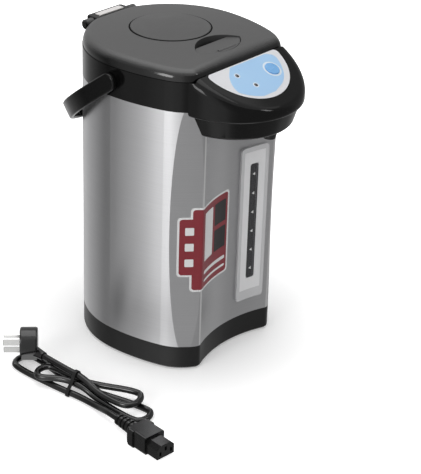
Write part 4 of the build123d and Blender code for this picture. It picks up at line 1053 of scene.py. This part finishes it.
# %% Ring of walls
wall_r = 2.4
wall_low = -6.0
wall_high = 2.6
wall_sides = 96
verts = []
faces = []
for i in range(wall_sides):
    angle = 2 * math.pi * i / wall_sides
    for z in (wall_low, wall_high):
        verts.append((wall_r * math.cos(angle), wall_r * math.sin(angle), z))
    a = 2 * i
    b = 2 * ((i + 1) % wall_sides)
    faces.append((a, a + 1, b + 1, b))
wall_mesh = bpy.data.meshes.new("studio_walls")
wall_mesh.from_pydata(verts, [], faces)
studio_walls = put_in_scene("studio_walls", wall_mesh)
print("wall faces", len(wall_mesh.polygons))

# %% [markdown]
# The walls are brighter on some sides than on others. A ramp over the compass gives each direction
# its level, so the steel shows upright bands, light and dark, that move with its bends.

# %% Light of the walls
wall_stops = [
    (-180, 0.56), (-170, 0.60), (-162, 0.56), (-150, 0.50), (-140, 0.27), (-128, 0.18),
    (-110, 0.17), (-85, 0.18), (-60, 0.16), (-42, 0.16), (-28, 0.22), (-14, 0.18), (20, 0.24),
    (50, 0.30), (74, 0.37), (92, 0.27), (108, 0.21), (122, 0.135), (134, 0.075), (142, 0.16),
    (150, 0.26), (162, 0.30), (170, 0.43), (176, 0.54), (180, 0.56)]
wall_strength = 2.0
wall_finish = bpy.data.materials.new("studio_walls")
wall_finish.use_nodes = True
tree = wall_finish.node_tree
tree.nodes.remove(tree.nodes["Principled BSDF"])
place = tree.nodes.new("ShaderNodeTexCoord")
apart = tree.nodes.new("ShaderNodeSeparateXYZ")
bearing = tree.nodes.new("ShaderNodeMath")
bearing.operation = "ARCTAN2"
share = tree.nodes.new("ShaderNodeMapRange")
share.inputs["From Min"].default_value = -math.pi
share.inputs["From Max"].default_value = math.pi
ramp = tree.nodes.new("ShaderNodeValToRGB")
bands = ramp.color_ramp.elements
for compass, level in wall_stops:
    stop = (compass + 180) / 360
    if stop == 0:
        band = bands[0]
    elif stop == 1:
        band = bands[len(bands) - 1]
    else:
        band = bands.new(stop)
    band.color = (*grey(level), 1)
glow = tree.nodes.new("ShaderNodeEmission")
glow.inputs["Strength"].default_value = wall_strength
tree.links.new(place.outputs["Object"], apart.inputs["Vector"])
tree.links.new(apart.outputs["Y"], bearing.inputs[0])
tree.links.new(apart.outputs["X"], bearing.inputs[1])
tree.links.new(bearing.outputs["Value"], share.inputs["Value"])
tree.links.new(share.outputs["Result"], ramp.inputs["Fac"])
tree.links.new(ramp.outputs["Color"], glow.inputs["Color"])
tree.links.new(glow.outputs["Emission"], tree.nodes["Material Output"].inputs["Surface"])
wall_mesh.materials.append(wall_finish)
studio_walls.visible_camera = False
studio_walls.visible_diffuse = False
studio_walls.visible_shadow = False
studio_walls.visible_transmission = False
print("wall stops", len(wall_stops))

# %% Studio lamps
def soft_lamp(name, at, aim, size, power):
    """Square area lamp that points at a spot."""
    data = bpy.data.lights.new(name, "AREA")
    data.shape = "SQUARE"
    data.size = size
    data.energy = power
    lamp = put_in_scene(name, data)
    way = Vector(aim) - Vector(at)
    lamp.matrix_world = Matrix.Translation(at) @ way.to_track_quat("-Z", "Y").to_matrix().to_4x4()
    print(name, power, "W")


soft_lamp("lamp_above", (0.2, 0.3, 2.3), (0, 0, 0.2), 2.2, 24.0)
soft_lamp("lamp_left", (-1.95, -0.1, 1.0), (0, 0, 0.3), 0.7, 11.0)
soft_lamp("lamp_right", (0.84, -1.39, 1.64), (0, -0.14, 0.32), 0.3, 2.0)

# %% [markdown]
# The sky fills the shadows softly. Rays from the camera, and those that are mirrored or pass
# through the clear strip, see a white sky instead, so the picture has a white background.

# %% Sky
world = bpy.data.worlds.new("studio_sky")
bpy.context.scene.world = world
world.use_nodes = True
tree = world.node_tree
soft_sky = tree.nodes["Background"]
soft_sky.inputs["Color"].default_value = (1, 1, 1, 1)
soft_sky.inputs["Strength"].default_value = 0.5
white_sky = tree.nodes.new("ShaderNodeBackground")
white_sky.inputs["Color"].default_value = (1, 1, 1, 1)
ray = tree.nodes.new("ShaderNodeLightPath")
either = tree.nodes.new("ShaderNodeMath")
either.operation = "MAXIMUM"
any_ray = tree.nodes.new("ShaderNodeMath")
any_ray.operation = "MAXIMUM"
pick = tree.nodes.new("ShaderNodeMixShader")
tree.links.new(ray.outputs["Is Camera Ray"], either.inputs[0])
tree.links.new(ray.outputs["Is Glossy Ray"], either.inputs[1])
tree.links.new(either.outputs["Value"], any_ray.inputs[0])
tree.links.new(ray.outputs["Is Transmission Ray"], any_ray.inputs[1])
tree.links.new(any_ray.outputs["Value"], pick.inputs["Fac"])
tree.links.new(soft_sky.outputs["Background"], pick.inputs[1])
tree.links.new(white_sky.outputs["Background"], pick.inputs[2])
tree.links.new(pick.outputs["Shader"], tree.nodes["World Output"].inputs["Surface"])
bpy.context.scene.view_settings.view_transform = "Standard"
print("view", bpy.context.scene.view_settings.view_transform)
